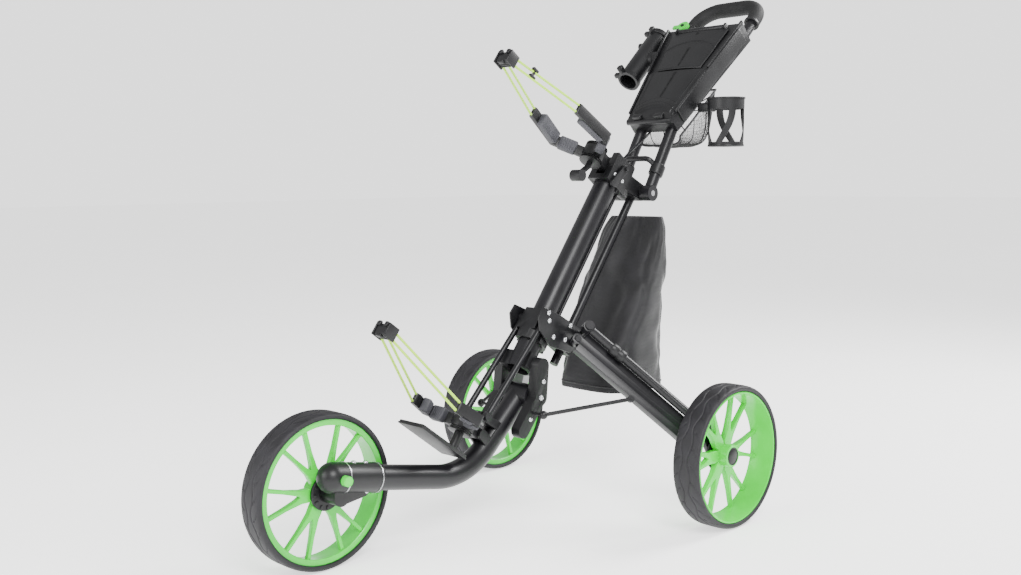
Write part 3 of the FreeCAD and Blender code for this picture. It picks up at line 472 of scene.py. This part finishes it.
def softened(node, offset):
    shape = bmesh.new()
    shape.from_mesh(nodes[node].data)
    bmesh.ops.remove_doubles(shape, verts=shape.verts, dist=2e-5)
    bmesh.ops.dissolve_limit(shape, angle_limit=math.radians(0.6), verts=shape.verts, edges=shape.edges)
    sharp = [edge for edge in shape.edges if len(edge.link_faces) == 2
             and edge.calc_face_angle(0) > math.radians(32)]
    bmesh.ops.bevel(shape, geom=sharp, offset=offset / 1000, segments=3, profile=0.5, affect="EDGES",
                    material=-1, clamp_overlap=True)
    newPiece(node + "_finished", shape, slotOf[node], bodyOf[node], [node], smooth=30)


for node, offset in rounding.items():
    softened(node, offset)
print("edges rounded:", len(rounding))

# soft goods
bagShape = {"low": 232, "high": 597, "half": 97, "rings": 56, "sides": 120, "fold": 6.0, "crease": 4.2,
            "folds": 3, "pleats": 7, "gathers": 26, "domeFrom": 0.72, "narrowing": 0.24, "seamTurn": 131,
            "front": [(235, 50), (330, 40), (598, -112)], "back": [(232, -125), (300, -135), (595, -138)]}


def bagEdge(outline, up):
    # how far ahead of the axle the bag's front or back is, on straight lines between (height, place) pairs
    low, knee, high = outline
    (start, first), (end, last) = (low, knee) if up < knee[0] else (knee, high)
    return first + (up - start) / (end - start) * (last - first)


def bagPoint(turn, share, height):
    b = bagShape
    up = b["low"] + (b["high"] - b["low"]) * height
    front, back = bagEdge(b["front"], up), bagEdge(b["back"], up)
    dome = max(0.0, (height - b["domeFrom"]) / (1 - b["domeFrom"]))
    half = b["half"] * (1 - b["narrowing"] * dome ** 3) * (0.97 + 0.03 * math.sin(math.pi * height))
    deep = (front - back) / 2
    power = 2 / (4.2 - 1.6 * height)
    c, s = math.cos(turn), math.sin(turn)
    along = math.copysign(abs(c) ** power, c)
    across = math.copysign(abs(s) ** power, s)
    sway = 0.8 * math.sin(up / 47) + 0.5 * math.sin(up / 21)
    hang = math.sin(math.pi * min(1, 0.12 + height * 0.95)) ** 0.7
    fold = b["fold"] * hang * (0.5 + 0.5 * math.sin(b["folds"] * turn + sway + 0.7)) ** 2.2
    fold += b["fold"] * 0.6 * hang * (0.5 + 0.5 * math.sin(b["pleats"] * turn - 1.4 * sway + 1)) ** 4
    spot = Vector((along * deep, across * half, up)) / 1000
    crease = noise.noise(Vector((spot.x * 9, spot.y * 9, spot.z * 16))) + 0.5 * noise.noise(spot * 42)
    fold += b["crease"] * (0.6 + crease)
    gather = 1 + 0.35 * dome * math.sin(b["gathers"] * turn)
    keep = max(0.55, 1 - max(0, fold) * gather / max(half, 20))
    keepDeep = max(0.35, 1 - max(0, fold) * gather / max(deep, 14))
    middle = (front + back) / 2
    end = (1 - share) * (9 if height < 0.5 else -7)
    return ground(middle + along * deep * keepDeep * share, across * half * keep * share, up + end)


shape = bmesh.new()
bmesh.ops.create_cone(shape, cap_ends=True, segments=bagShape["sides"], radius1=1, radius2=1, depth=1)
standing = [edge for edge in shape.edges if abs(edge.verts[0].co.z - edge.verts[1].co.z) > 0.5]
bmesh.ops.subdivide_edges(shape, edges=standing, cuts=bagShape["rings"], use_grid_fill=True)
for inset in (0.12, 0.3, 0.3):
    caps = [face for face in shape.faces if len(face.verts) == bagShape["sides"]]
    bmesh.ops.inset_individual(shape, faces=caps, thickness=inset, use_even_offset=True)
caps = [face for face in shape.faces if len(face.verts) == bagShape["sides"]]
bmesh.ops.poke(shape, faces=caps)
for vertex in shape.verts:
    reachOut = min(1, math.hypot(vertex.co.x, vertex.co.y))
    vertex.co = bagPoint(math.atan2(vertex.co.y, vertex.co.x), reachOut, vertex.co.z + 0.5)
bmesh.ops.smooth_vert(shape, verts=shape.verts, factor=0.4, use_axis_x=True, use_axis_y=True, use_axis_z=True)
bag = newPiece("bag_cloth", shape, "nylon", "frame", ["bag"], smooth=80)


def tubeAlong(name, points, radius, closed=False):
    data = bpy.data.curves.new(name, "CURVE")
    data.dimensions = "3D"
    data.bevel_depth = radius / 1000
    data.bevel_resolution = 3
    data.use_fill_caps = True
    spline = data.splines.new("POLY")
    spline.points.add(len(points) - 1)
    for spot, point in zip(spline.points, points):
        spot.co = (*point, 1)
    spline.use_cyclic_u = closed
    carrier = bpy.data.objects.new(name, data)
    bpy.context.scene.collection.objects.link(carrier)
    mesh = bpy.data.meshes.new_from_object(carrier)
    bpy.data.objects.remove(carrier)
    return mesh


# sewn piping round the bag's foot and up its two back edges
foot = [bagPoint(2 * math.pi * k / bagShape["sides"], 1.0, 0.035) for k in range(bagShape["sides"])]
piping = [newPiece("bag_piping_foot", tubeAlong("piping", foot, 1.7, True), "nylon", "frame")]
for side in (1, -1):
    edge = [bagPoint(side * math.radians(bagShape["seamTurn"]), 1.0, 0.04 + 0.85 * k / 60) for k in range(61)]
    name = "bag_seam_" + ("left" if side > 0 else "right")
    piping.append(newPiece(name, tubeAlong("seam", edge, 1.4), "nylon", "frame"))
for piece in [bag] + piping:
    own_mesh(piece)
print("bag made")

# basket of knotted net, its cells drawn 4 mm apart, with a bound rim
basketShape = {"cellsAcross": 72, "cellsAlong": 58, "cord": 0.75, "half": 60, "rim": 2.6, "knee": 0.74,
               "lowest": 746}


def basketPoint(across, along):
    knee = basketShape["knee"]
    if along < knee:
        share = along / knee
        x, rim, floor = -203 - 114 * share, 770 + 92 * share, 751 - 5 * math.sin(math.pi * share)
    else:
        share = (along - knee) / (1 - knee)
        x, rim, floor = -317 - 19 * share, 862 + 15 * share, 751 + 126 * share ** 1.25
    swing = across * math.pi / 2
    side = math.copysign(abs(math.sin(swing)) ** 0.62, across)
    belly = 1 + 0.03 * math.sin(math.pi * along)
    sag = noise.noise(Vector((across * 2.2, along * 3.1, 0.4))) * 3
    up = rim - (rim - floor) * max(0, math.cos(swing)) ** 0.55
    return ground(x, side * basketShape["half"] * min(1.02, belly), max(basketShape["lowest"],
                  up + sag * (1 - abs(across))))


shape = bmesh.new()
bmesh.ops.create_grid(shape, x_segments=basketShape["cellsAcross"], y_segments=basketShape["cellsAlong"],
                      size=1)
for vertex in shape.verts:
    vertex.co = basketPoint(vertex.co.x, (vertex.co.y + 1) / 2)
net = newPiece("basket_net", shape, "net", "handle", ["mesh_basket"])
wire = net.modifiers.new("cells", "WIREFRAME")
wire.thickness = basketShape["cord"] / 1000
wire.use_even_offset = False
rim = [basketPoint(1, k / 40) for k in range(41)] + [basketPoint(-1, k / 40) for k in range(40, -1, -1)]
rim += [basketPoint(-1 + k / 12, 0) for k in range(1, 24)]
newPiece("basket_rim", tubeAlong("rim", rim, basketShape["rim"], True), "net", "handle",
         material=finishes["nylon"])
bands = []
for start, end in (((1, 0.1), (-1, 0.75)), ((-1, 0.1), (1, 0.75)), ((1, 0.48), (-1, 0.48))):
    a, b = basketPoint(*start), basketPoint(*end)
    line = [a.lerp(b, k / 16) - Vector((0, 0, 0.004 * math.sin(math.pi * k / 16))) for k in range(17)]
    bands.append(tubeAlong("band", line, 1.3))
for middle in (0.32, 0.62):
    bands.append(tubeAlong("band", [basketPoint(-1 + k / 20, middle) for k in range(41)], 1.2))
shape = bmesh.new()
for mesh in bands:
    shape.from_mesh(mesh)
newPiece("basket_bands", shape, "net", "handle")
print("basket made")

# foam grip: a bowed tube with a swelled middle, knurled all round
gripShape = {"radius": 17.2, "bend": 50, "out": 84, "low": 322, "high": 386, "knurl": 0.45, "pitch": 7.0,
             "front": 5, "span": 62, "fade": 8, "beats": 12, "swell": 0.5, "quarterArc": 0.5523}
data = bpy.data.curves.new("grip", "CURVE")
data.dimensions = "3D"
data.bevel_depth = gripShape["radius"] / 1000
data.bevel_resolution = 9
data.resolution_u = 36
data.use_fill_caps = True
spline = data.splines.new("BEZIER")
out, low, high, bend = (gripShape[word] for word in ("out", "low", "high", "bend"))
pull = bend * gripShape["quarterArc"]
knots = [((out, low), (0, -5), (0, 5)), ((out, high - bend), (0, -5), (0, pull)),
         ((out - bend, high), (pull, 0), (-12, 0)), ((-out + bend, high), (12, 0), (-pull, 0)),
         ((-out, high - bend), (0, pull), (0, -5)), ((-out, low), (0, 5), (0, -5))]
spline.bezier_points.add(len(knots) - 1)
for knot, (spot, before, after) in zip(spline.bezier_points, knots):
    knot.handle_left_type = knot.handle_right_type = "FREE"
    middle = Vector((gripShape["front"], *spot))
    knot.co, knot.handle_left, knot.handle_right = inFrame(handleFrame, [
        middle, middle + Vector((0, *before)), middle + Vector((0, *after))])
carrier = bpy.data.objects.new("grip", data)
bpy.context.scene.collection.objects.link(carrier)
gripMesh = bpy.data.meshes.new_from_object(carrier)
bpy.data.objects.remove(carrier)
shape = bmesh.new()
shape.from_mesh(gripMesh)
bmesh.ops.remove_doubles(shape, verts=shape.verts, dist=1e-5)
shape.normal_update()
backwards = handleFrame.inverted()
for vertex in shape.verts:
    local = backwards @ vertex.co * 1000
    if abs(local.y) < gripShape["span"]:
        beat = math.sin(local.y * 2 * math.pi / gripShape["pitch"]) * math.sin(
            math.atan2(local.x - gripShape["front"], local.z - high) * gripShape["beats"])
        fade = min(1, (gripShape["span"] - abs(local.y)) / gripShape["fade"])
        swell = gripShape["swell"] * math.cos(local.y / gripShape["span"] * math.pi / 2)
        vertex.co += vertex.normal * (gripShape["knurl"] * beat * fade + swell) / 1000
grip = newPiece("grip_foam", shape, "foam", "handle", ["handle_grip"], smooth=60)
collars = []
for side in (1, -1):
    spot = handleFrame @ Matrix.Translation((0.005, side * 0.084, 0.316))
    collars.append(spun([(12.7, 0), (17.4, 0), (18.2, 1), (18.2, 5), (17.4, 6.4), (12.7, 6.4)], spot))
newPiece("grip_collars", joined(collars), "black_plastic", "handle")
print("grip made")


# console: crowned cover with scooped lip, and the lid
consoleShape = {"foot": 61, "spread": 42, "long": 300, "sink": 16, "cells": 90, "edge": 4, "edgeDrop": 2.4}
coverShape = {"base": 2.2, "crown": 3.0, "centre": -34, "scoop": 74, "deep": 4.6, "soft": 2.2,
              "rings": ((84, 1.2, 1.4), (96, 1.0, 1.2)), "sideLine": 0.82}
lidShape = {"base": 5.0, "crown": 3.2, "centre": 60, "arc": 186, "step": 1.2, "soft": 2}
faceTilt = math.atan2(consoleShape["sink"], consoleShape["long"])
faceFrame = handleFrame @ Matrix.Translation((0.029, 0, -0.033)) @ Matrix.Rotation(faceTilt, 4, "Y")


def faceHalf(along):
    return consoleShape["foot"] + consoleShape["spread"] * along / consoleShape["long"]


def panel(low, high, margin, height, thick):
    # a grid laid on the console's face, raised by height(out, along) and given a thickness
    sheet = bmesh.new()
    bmesh.ops.create_grid(sheet, x_segments=consoleShape["cells"], y_segments=consoleShape["cells"], size=1)
    for vertex in sheet.verts:
        along = low + (high - low) * (vertex.co.y + 1) / 2
        wide = faceHalf(along) - margin
        out = vertex.co.x * wide
        rim = min(wide - abs(out), along - low, high - along)
        drop = consoleShape["edgeDrop"] * (1 - min(1, rim / consoleShape["edge"])) ** 2
        vertex.co = Vector((height(out / wide, along) - drop, out, along)) / 1000
    bmesh.ops.solidify(sheet, geom=sheet.faces[:], thickness=thick / 1000)
    bmesh.ops.recalc_face_normals(sheet, faces=sheet.faces)
    return sheet


def coverHeight(share, along):
    c = coverShape
    scoop = math.hypot(share * faceHalf(along), along - c["centre"])
    height = c["base"] + c["crown"] * (1 - share * share)
    height -= c["deep"] * (1 / (1 + math.exp((scoop - c["scoop"]) / c["soft"])))
    for radius, deep, wide in c["rings"]:
        height -= deep * groove(scoop - radius, wide)
    height -= 1.4 * groove(abs(share) - c["sideLine"], 0.02)
    return height


def lidHeight(share, along):
    s = lidShape
    past = math.hypot(share * faceHalf(along), along - s["centre"]) - s["arc"]
    height = s["base"] + s["crown"] * (1 - share * share)
    height -= 1.5 * groove(past, 1.8)
    height += s["step"] / (1 + math.exp(-past / s["soft"]))
    return height


cover = panel(3, 155, 3, coverHeight, 3)
bmesh.ops.transform(cover, matrix=faceFrame, verts=cover.verts)
newPiece("console_cover", cover, "black_plastic", "handle", smooth=45)
barrel = spun([(2.2, -62), (5.4, -62), (6, -61), (6, 61), (5.4, 62), (2.2, 62)],
              Matrix.Translation((0.006, 0, 0.286)) @ Matrix.Rotation(math.radians(90), 4, "X"))
lid = joined([panel(159, 281, 22, lidHeight, 3.5), barrel])
bmesh.ops.transform(lid, matrix=faceFrame, verts=lid.verts)
newPiece("console_lid_cover", lid, "black_plastic", "lid", ["console_lid"], smooth=45)


def block(size, spot, bevel, turn=None):
    cube = bmesh.new()
    bmesh.ops.create_cube(cube, size=1, matrix=Matrix.Diagonal((*(Vector(size) / 1000), 1)))
    bmesh.ops.bevel(cube, geom=cube.edges[:], offset=bevel / 1000, segments=3, profile=0.5, affect="EDGES",
                    material=-1)
    placed = Matrix.Translation(Vector(spot) / 1000) @ (turn or Matrix.Identity(4))
    bmesh.ops.transform(cube, matrix=placed, verts=cube.verts)
    return cube


# rails and skirts at both sides of the face, and a pair of clips at its foot
rails = []
for side in (1, -1):
    turn = Matrix.Rotation(-side * math.atan2(consoleShape["spread"], consoleShape["long"]), 4, "X")
    rails.append(block((9, 6, 150), (3, side * 92, 228), 2.4, turn))
    rails.append(block((6, 5, 120), (2, side * 72, 78), 2, turn))
    rails.append(block((40, 6, 262), (-17, side * 84, 152), 2.8, turn))
rails.append(block((10, 24, 12), (6, 30, 3), 3))
rails.append(block((10, 24, 12), (6, -30, 3), 3))
shape = joined(rails)
bmesh.ops.transform(shape, matrix=faceFrame, verts=shape.verts)
newPiece("console_rails", shape, "black_plastic", "handle")
print("console made")

# cup holder: a cage of slanted ribs between two rings
cupShape = {"spot": (-245, 150), "top": 850, "radius": 39.6, "deep": 105, "wall": 2.8, "arms": 4, "columns": 48,
            "rows": 20, "opening": (0.10, 0.76), "ribColumns": (0, 1, 2), "slant": 0.75, "taper": 0.05}


def ribSlant(height):
    # how far a rib has turned round the cup at a share of its height
    if height <= 0.1:
        return 0
    return cupShape["slant"] * (math.sin((height - 0.1) / 0.66 * math.pi / 2) if height < 0.78 else 1)


shape = bmesh.new()
bmesh.ops.create_cone(shape, cap_ends=False, segments=cupShape["columns"], radius1=cupShape["radius"] / 1000,
                      radius2=cupShape["radius"] / 1000, depth=cupShape["deep"] / 1000)
standing = [edge for edge in shape.edges if abs(edge.verts[0].co.z - edge.verts[1].co.z) > 0.05]
bmesh.ops.subdivide_edges(shape, edges=standing, cuts=cupShape["rows"], use_grid_fill=True)
openings = []
for face in shape.faces:
    middle = face.calc_center_median()
    height = middle.z / cupShape["deep"] * 1000 + 0.5
    column = int((math.atan2(middle.y, middle.x) % (2 * math.pi)) / (2 * math.pi) * cupShape["columns"])
    low, high = cupShape["opening"]
    if low < height < high and column % (cupShape["columns"] // cupShape["arms"]) not in cupShape["ribColumns"]:
        openings.append(face)
bmesh.ops.delete(shape, geom=openings, context="FACES")
for vertex in shape.verts:
    height = vertex.co.z / cupShape["deep"] * 1000 + 0.5
    taper = 1 - cupShape["taper"] * (1 - height)
    turn = math.atan2(vertex.co.y, vertex.co.x) + ribSlant(height)
    radius = math.hypot(vertex.co.x, vertex.co.y) * taper
    vertex.co.x, vertex.co.y = radius * math.cos(turn), radius * math.sin(turn)
bmesh.ops.solidify(shape, geom=shape.faces[:], thickness=cupShape["wall"] / 1000)
bmesh.ops.recalc_face_normals(shape, faces=shape.faces)
lip = spun([(37.2, 49), (41, 49), (41.4, 51), (40.8, 52.4), (37.6, 52.4), (37, 51)], Matrix.Identity(4), 64)
seat = spun([(10, -52.4), (38, -52.4), (39, -51), (38.6, -48), (30, -48.6), (12, -49.4), (10, -50.4)],
            Matrix.Identity(4), 64)
arm = block((26, 34, 20), (0, -50, 34), 4)
shape = joined([shape, lip, seat, arm])
centre = ground(*cupShape["spot"], cupShape["top"] - cupShape["deep"] / 2)
bmesh.ops.transform(shape, matrix=Matrix.Translation(centre), verts=shape.verts)
newPiece("cup_cage", shape, "black_plastic", "handle", ["cup_holder"], smooth=40)
print("cup holder made")

# umbrella holder: clamp ears, end rings and knobs on the tube; the foot plate of the lower cradle
holder = []
for spot in (108, 262):
    ring = spun([(20.6, -6), (26.4, -6), (27.4, -5), (27.4, 5), (26.4, 6), (20.6, 6)],
                Matrix.Translation((0.034, -0.136, spot / 1000)), 40)
    holder.append(ring)
    holder.append(block((15, 12, 13), (60, -142, spot), 2.4))
    holder.append(block((11, 17, 11), (50, -160, spot), 2.2))
holder.append(spun([(0, 0), (7.5, 0), (8.5, 1), (8.5, 7), (7.5, 8), (0, 8)],
                   Matrix.Translation((0.066, -0.142, 0.108)) @ Matrix.Rotation(math.radians(90), 4, "Y"),
                   12, False))
shape = joined(holder)
bmesh.ops.transform(shape, matrix=handleFrame, verts=shape.verts)
newPiece("umbrella_clamps", shape, "black_plastic", "umbrella_tube")
plate = [block((132, 70, 3.4), (94, 0, -62), 1.4), spun([(0, -61), (9, -61), (9, -20), (0, -20)],
         Matrix.Translation((0.042, 0, 0)), 40, False)]
plate += [block((126, 3, 7), (94, side * 33, -59.5), 1.2) for side in (1, -1)]
plate += [block((4, 66, 7), (94 + side * 63, 0, -59.5), 1.2) for side in (1, -1)]
plate += [block((2.6, 62, 4), (60 + 14 * k, 0, -59.4), 1.0) for k in range(7)]
shape = joined(plate)
bmesh.ops.transform(shape, matrix=lowerFrame, verts=shape.verts)
newPiece("foot_plate", shape, "black_plastic", "lower_cradle", ["cradle_base_plate"])
print("umbrella clamps and foot plate made")

# loop clips: a webbing block with ribs, side cheeks and hooks, and the slider buckle
for level in ("upper", "lower"):
    loop = bungee[level]
    x, z = loop["clip"]
    parts = [block((22, 30, 22), (x + 1, 0, z), 2.6)]
    parts += [block((2.2, 33, 24), (x - 6 + 4.5 * k, 0, z), 0.9) for k in range(4)]
    parts += [block((26, 4, 27), (x + 1, side * 17, z), 1.6) for side in (1, -1)]
    parts += [block((6, 9, 9), (x + 13, side * 10, z + 10), 2) for side in (1, -1)]
    parts += [block((8, 14, 5), (x + 9, 0, z - 12.5), 1.8)]
    shape = joined(parts)
    bmesh.ops.transform(shape, matrix=loop["frame"], verts=shape.verts)
    newPiece("clip_" + level, shape, "black_plastic", loop["body"], ["loop_clip_" + level], smooth=35)
shape = joined([block((15, 8, 6.5), (300, 28, 6.5), 1.6), block((15, 8, 6.5), (300, 28, -9.5), 1.6),
                block((5, 5, 13), (300, 28, -1.5), 1.4)])
bmesh.ops.transform(shape, matrix=upperFrame, verts=shape.verts)
newPiece("bungee_slider", shape, "black_plastic", "upper_cradle")
print("clips made")

# pads of the cradles: soft blocks with moulded grip ribs
for level, reach, elbow in (("upper", 186, 96), ("lower", 125, 78)):
    parts = []
    for side in (1, -1):
        for start, end in (((66, 36), (elbow - 10, 60)), ((elbow + 8, 64), (reach - 24, 55))):
            a, b = Vector((*start, 0)), Vector((*end, 0))
            turn = Matrix.Rotation(side * math.atan2(b.y - a.y, b.x - a.x), 4, "Z")
            middle = (a + b) / 2
            long = (b - a).length + 8
            parts.append(block((long, 17, 28), (middle.x, side * middle.y, 0), 3.4, turn))
            ribs = max(2, int(long / 6))
            for k in range(ribs):
                spot = a.lerp(b, (k + 0.5) / ribs)
                parts.append(block((2.6, 18.6, 25), (spot.x, side * spot.y, 0), 1.2, turn))
    shape = joined(parts)
    bmesh.ops.transform(shape, matrix=upperFrame if level == "upper" else lowerFrame, verts=shape.verts)
    pads = newPiece("pads_" + level, shape, "pad", level + "_cradle", ["cradle_pads_" + level], smooth=35)
print("pads made")


# hardware: button-head screws, rings and collars
def screw(matrix, radius):
    tall = radius * 0.62
    profile = [(0, tall * 0.35), (radius * 0.42, tall * 0.35), (radius * 0.44, tall),
               (radius * 0.62, tall * 0.96), (radius * 0.86, tall * 0.66), (radius, tall * 0.2), (radius, -0.6),
               (0, -0.6)]
    return spun(profile, matrix, 20, closed=False)


def screwAt(spot, direction, radius):
    return screw(axisFrame(spot, spot + Vector(direction)), radius)


screws = {body: [] for body in ("slider", "frame", "front_carrier", "upper_cradle", "lower_cradle")}
# body, distance out, radius and places ahead of and along the mast
mastScrews = [("slider", 42, 5.2, ((-40, 182), (-82.5, 190), (-43, 151), (19.4, 158), (30, 170), (-10, 138))),
              ("frame", 60, 5, ((-33.6, 15), (-31, -34), (-20, 44))),
              ("frame", 28, 4.6, ((-12, 522), (16, 520)))]
for side in (1, -1):
    for body, out, radius, spots in mastScrews:
        for x, z in spots:
            spot = inFrame(mastFrame, [(x, side * out, z)])[0]
            screws[body].append(screwAt(spot, (0, side, 0), radius))
    for level in ("upper", "lower"):
        loop = bungee[level]
        for back, out in ((10, 62), (26, 65)):
            spot = Vector((loop["reach"] - back, side * out, 11.2)) / 1000
            screws[loop["body"]].append(screw(loop["frame"] @ Matrix.Translation(spot), 3.4))
for level in ("upper", "lower"):
    loop = bungee[level]
    screws[loop["body"]].append(screw(loop["frame"] @ Matrix.Translation((0.042, 0, 0.0202)), 7))
for x, z in ((656, 149), (638, 152), (638, 141)):
    screws["front_carrier"].append(screwAt(ground(x, 12, z), (0, 1, 0), 4.4))
frontTube = {"overAxle": (690, 0, 173), "slope": math.radians(11)}
overAxle = ground(*frontTube["overAxle"])
forward = Vector((math.cos(frontTube["slope"]), 0, math.sin(frontTube["slope"])))
rise = Vector((-forward.z, 0, forward.x))
for back in (30, 56):
    spot = overAxle - forward * back / 1000 + rise * 0.0266
    screws["front_carrier"].append(screwAt(spot, rise, 5))
for body, shapes in screws.items():
    newPiece("screws_" + body, joined(shapes), "steel", body, smooth=40)

rings = [spun([(26.9, -0.8), (27.9, -0.4), (27.9, 0.4), (26.9, 0.8)],
              axisFrame(overAxle - forward * back / 1000, overAxle), 64) for back in (10, 80)]
newPiece("sleeve_rings", joined(rings), "steel", "front_carrier")
for word, side in (("left", 1), ("right", -1)):
    strut = nodes["leg_strut_" + word]
    root, end = inFrame(mastFrame, [(-52, side * 64, 158)])[0], ground(4, side * 250, 158)
    run = (end - root).normalized()
    middle = sum((vertex.co for vertex in strut.data.vertices), Vector()) / len(strut.data.vertices)
    bands = []
    for away in (-0.075, 0.125):
        spot = middle + run * away
        bands.append(spun([(9.1, -17), (11.6, -17), (12.4, -15.6), (12.4, -3), (11.2, -1), (11.2, 1), (12.4, 3),
                           (12.4, 15.6), (11.6, 17), (9.1, 17)], axisFrame(spot, spot + run)))
    newPiece("strut_collars_" + word, joined(bands), "black_plastic", word + "_leg_strut")
collars = []
for side in (1, -1):
    tube = inFrame(handleFrame, [(0, side * 42, 0)])[0]
    pivot = ground(-113.92, side * 42, 646.66)
    spot = pivot.lerp(tube, 0.3)
    collars.append(spun([(12.6, -12), (15, -12), (16, -10.6), (16, 10.6), (15, 12), (12.6, 12)],
                        axisFrame(spot, tube)))
newPiece("handle_collars", joined(collars), "black_plastic", "handle")
print("hardware made")

# studio: pale floor, bright backdrop and three area lights
studio = {"floor": "#f6f6f5", "world": 2.0, "reflected": 0.75, "floorGlow": 1.2}
floorShape = bmesh.new()
bmesh.ops.create_grid(floorShape, x_segments=1, y_segments=1, size=30)
floorMesh = bpy.data.meshes.new("floor")
floorShape.to_mesh(floorMesh)
floor = bpy.data.objects.new("floor", floorMesh)
bpy.context.scene.collection.objects.link(floor)
material, tree, shader, place = startMaterial("paleFloor", 0.9)
mottled(tree, shader, place, studio["floor"], "#fafafa", 900)
shader.inputs["Emission Color"].default_value = (1, 1, 1, 1)
shader.inputs["Emission Strength"].default_value = studio["floorGlow"]
floorMesh.materials.append(material)
world = bpy.data.worlds.new("studio")
bpy.context.scene.world = world
world.use_nodes = True
worldTree = world.node_tree
backdrop = worldTree.nodes["Background"]
backdrop.inputs["Color"].default_value = (1, 1, 1, 1)
# the backdrop is seen bright, but lights and reflects less, so the black parts keep their depth
path = addNode(worldTree, "ShaderNodeLightPath")
seen = addNode(worldTree, "ShaderNodeMapRange", {"To Min": studio["reflected"], "To Max": studio["world"]},
               {"Value": path.outputs["Is Camera Ray"]})
worldTree.links.new(seen.outputs["Result"], backdrop.inputs["Strength"])
lights = [("key", (1.6, 2.6, 2.8), 190, 1.6), ("fill", (3.0, -0.6, 1.4), 60, 1.6),
          ("rim", (-2.2, 1.0, 2.2), 120, 1.2)]
for name, spot, power, size in lights:
    data = bpy.data.lights.new(name, "AREA")
    data.energy, data.size = power, size
    lamp = bpy.data.objects.new(name, data)
    bpy.context.scene.collection.objects.link(lamp)
    aim = Vector((0.1, 0, 0.5)) - Vector(spot)
    lamp.matrix_world = Matrix.Translation(spot) @ aim.to_track_quat("-Z", "Y").to_matrix().to_4x4()
print("studio set")
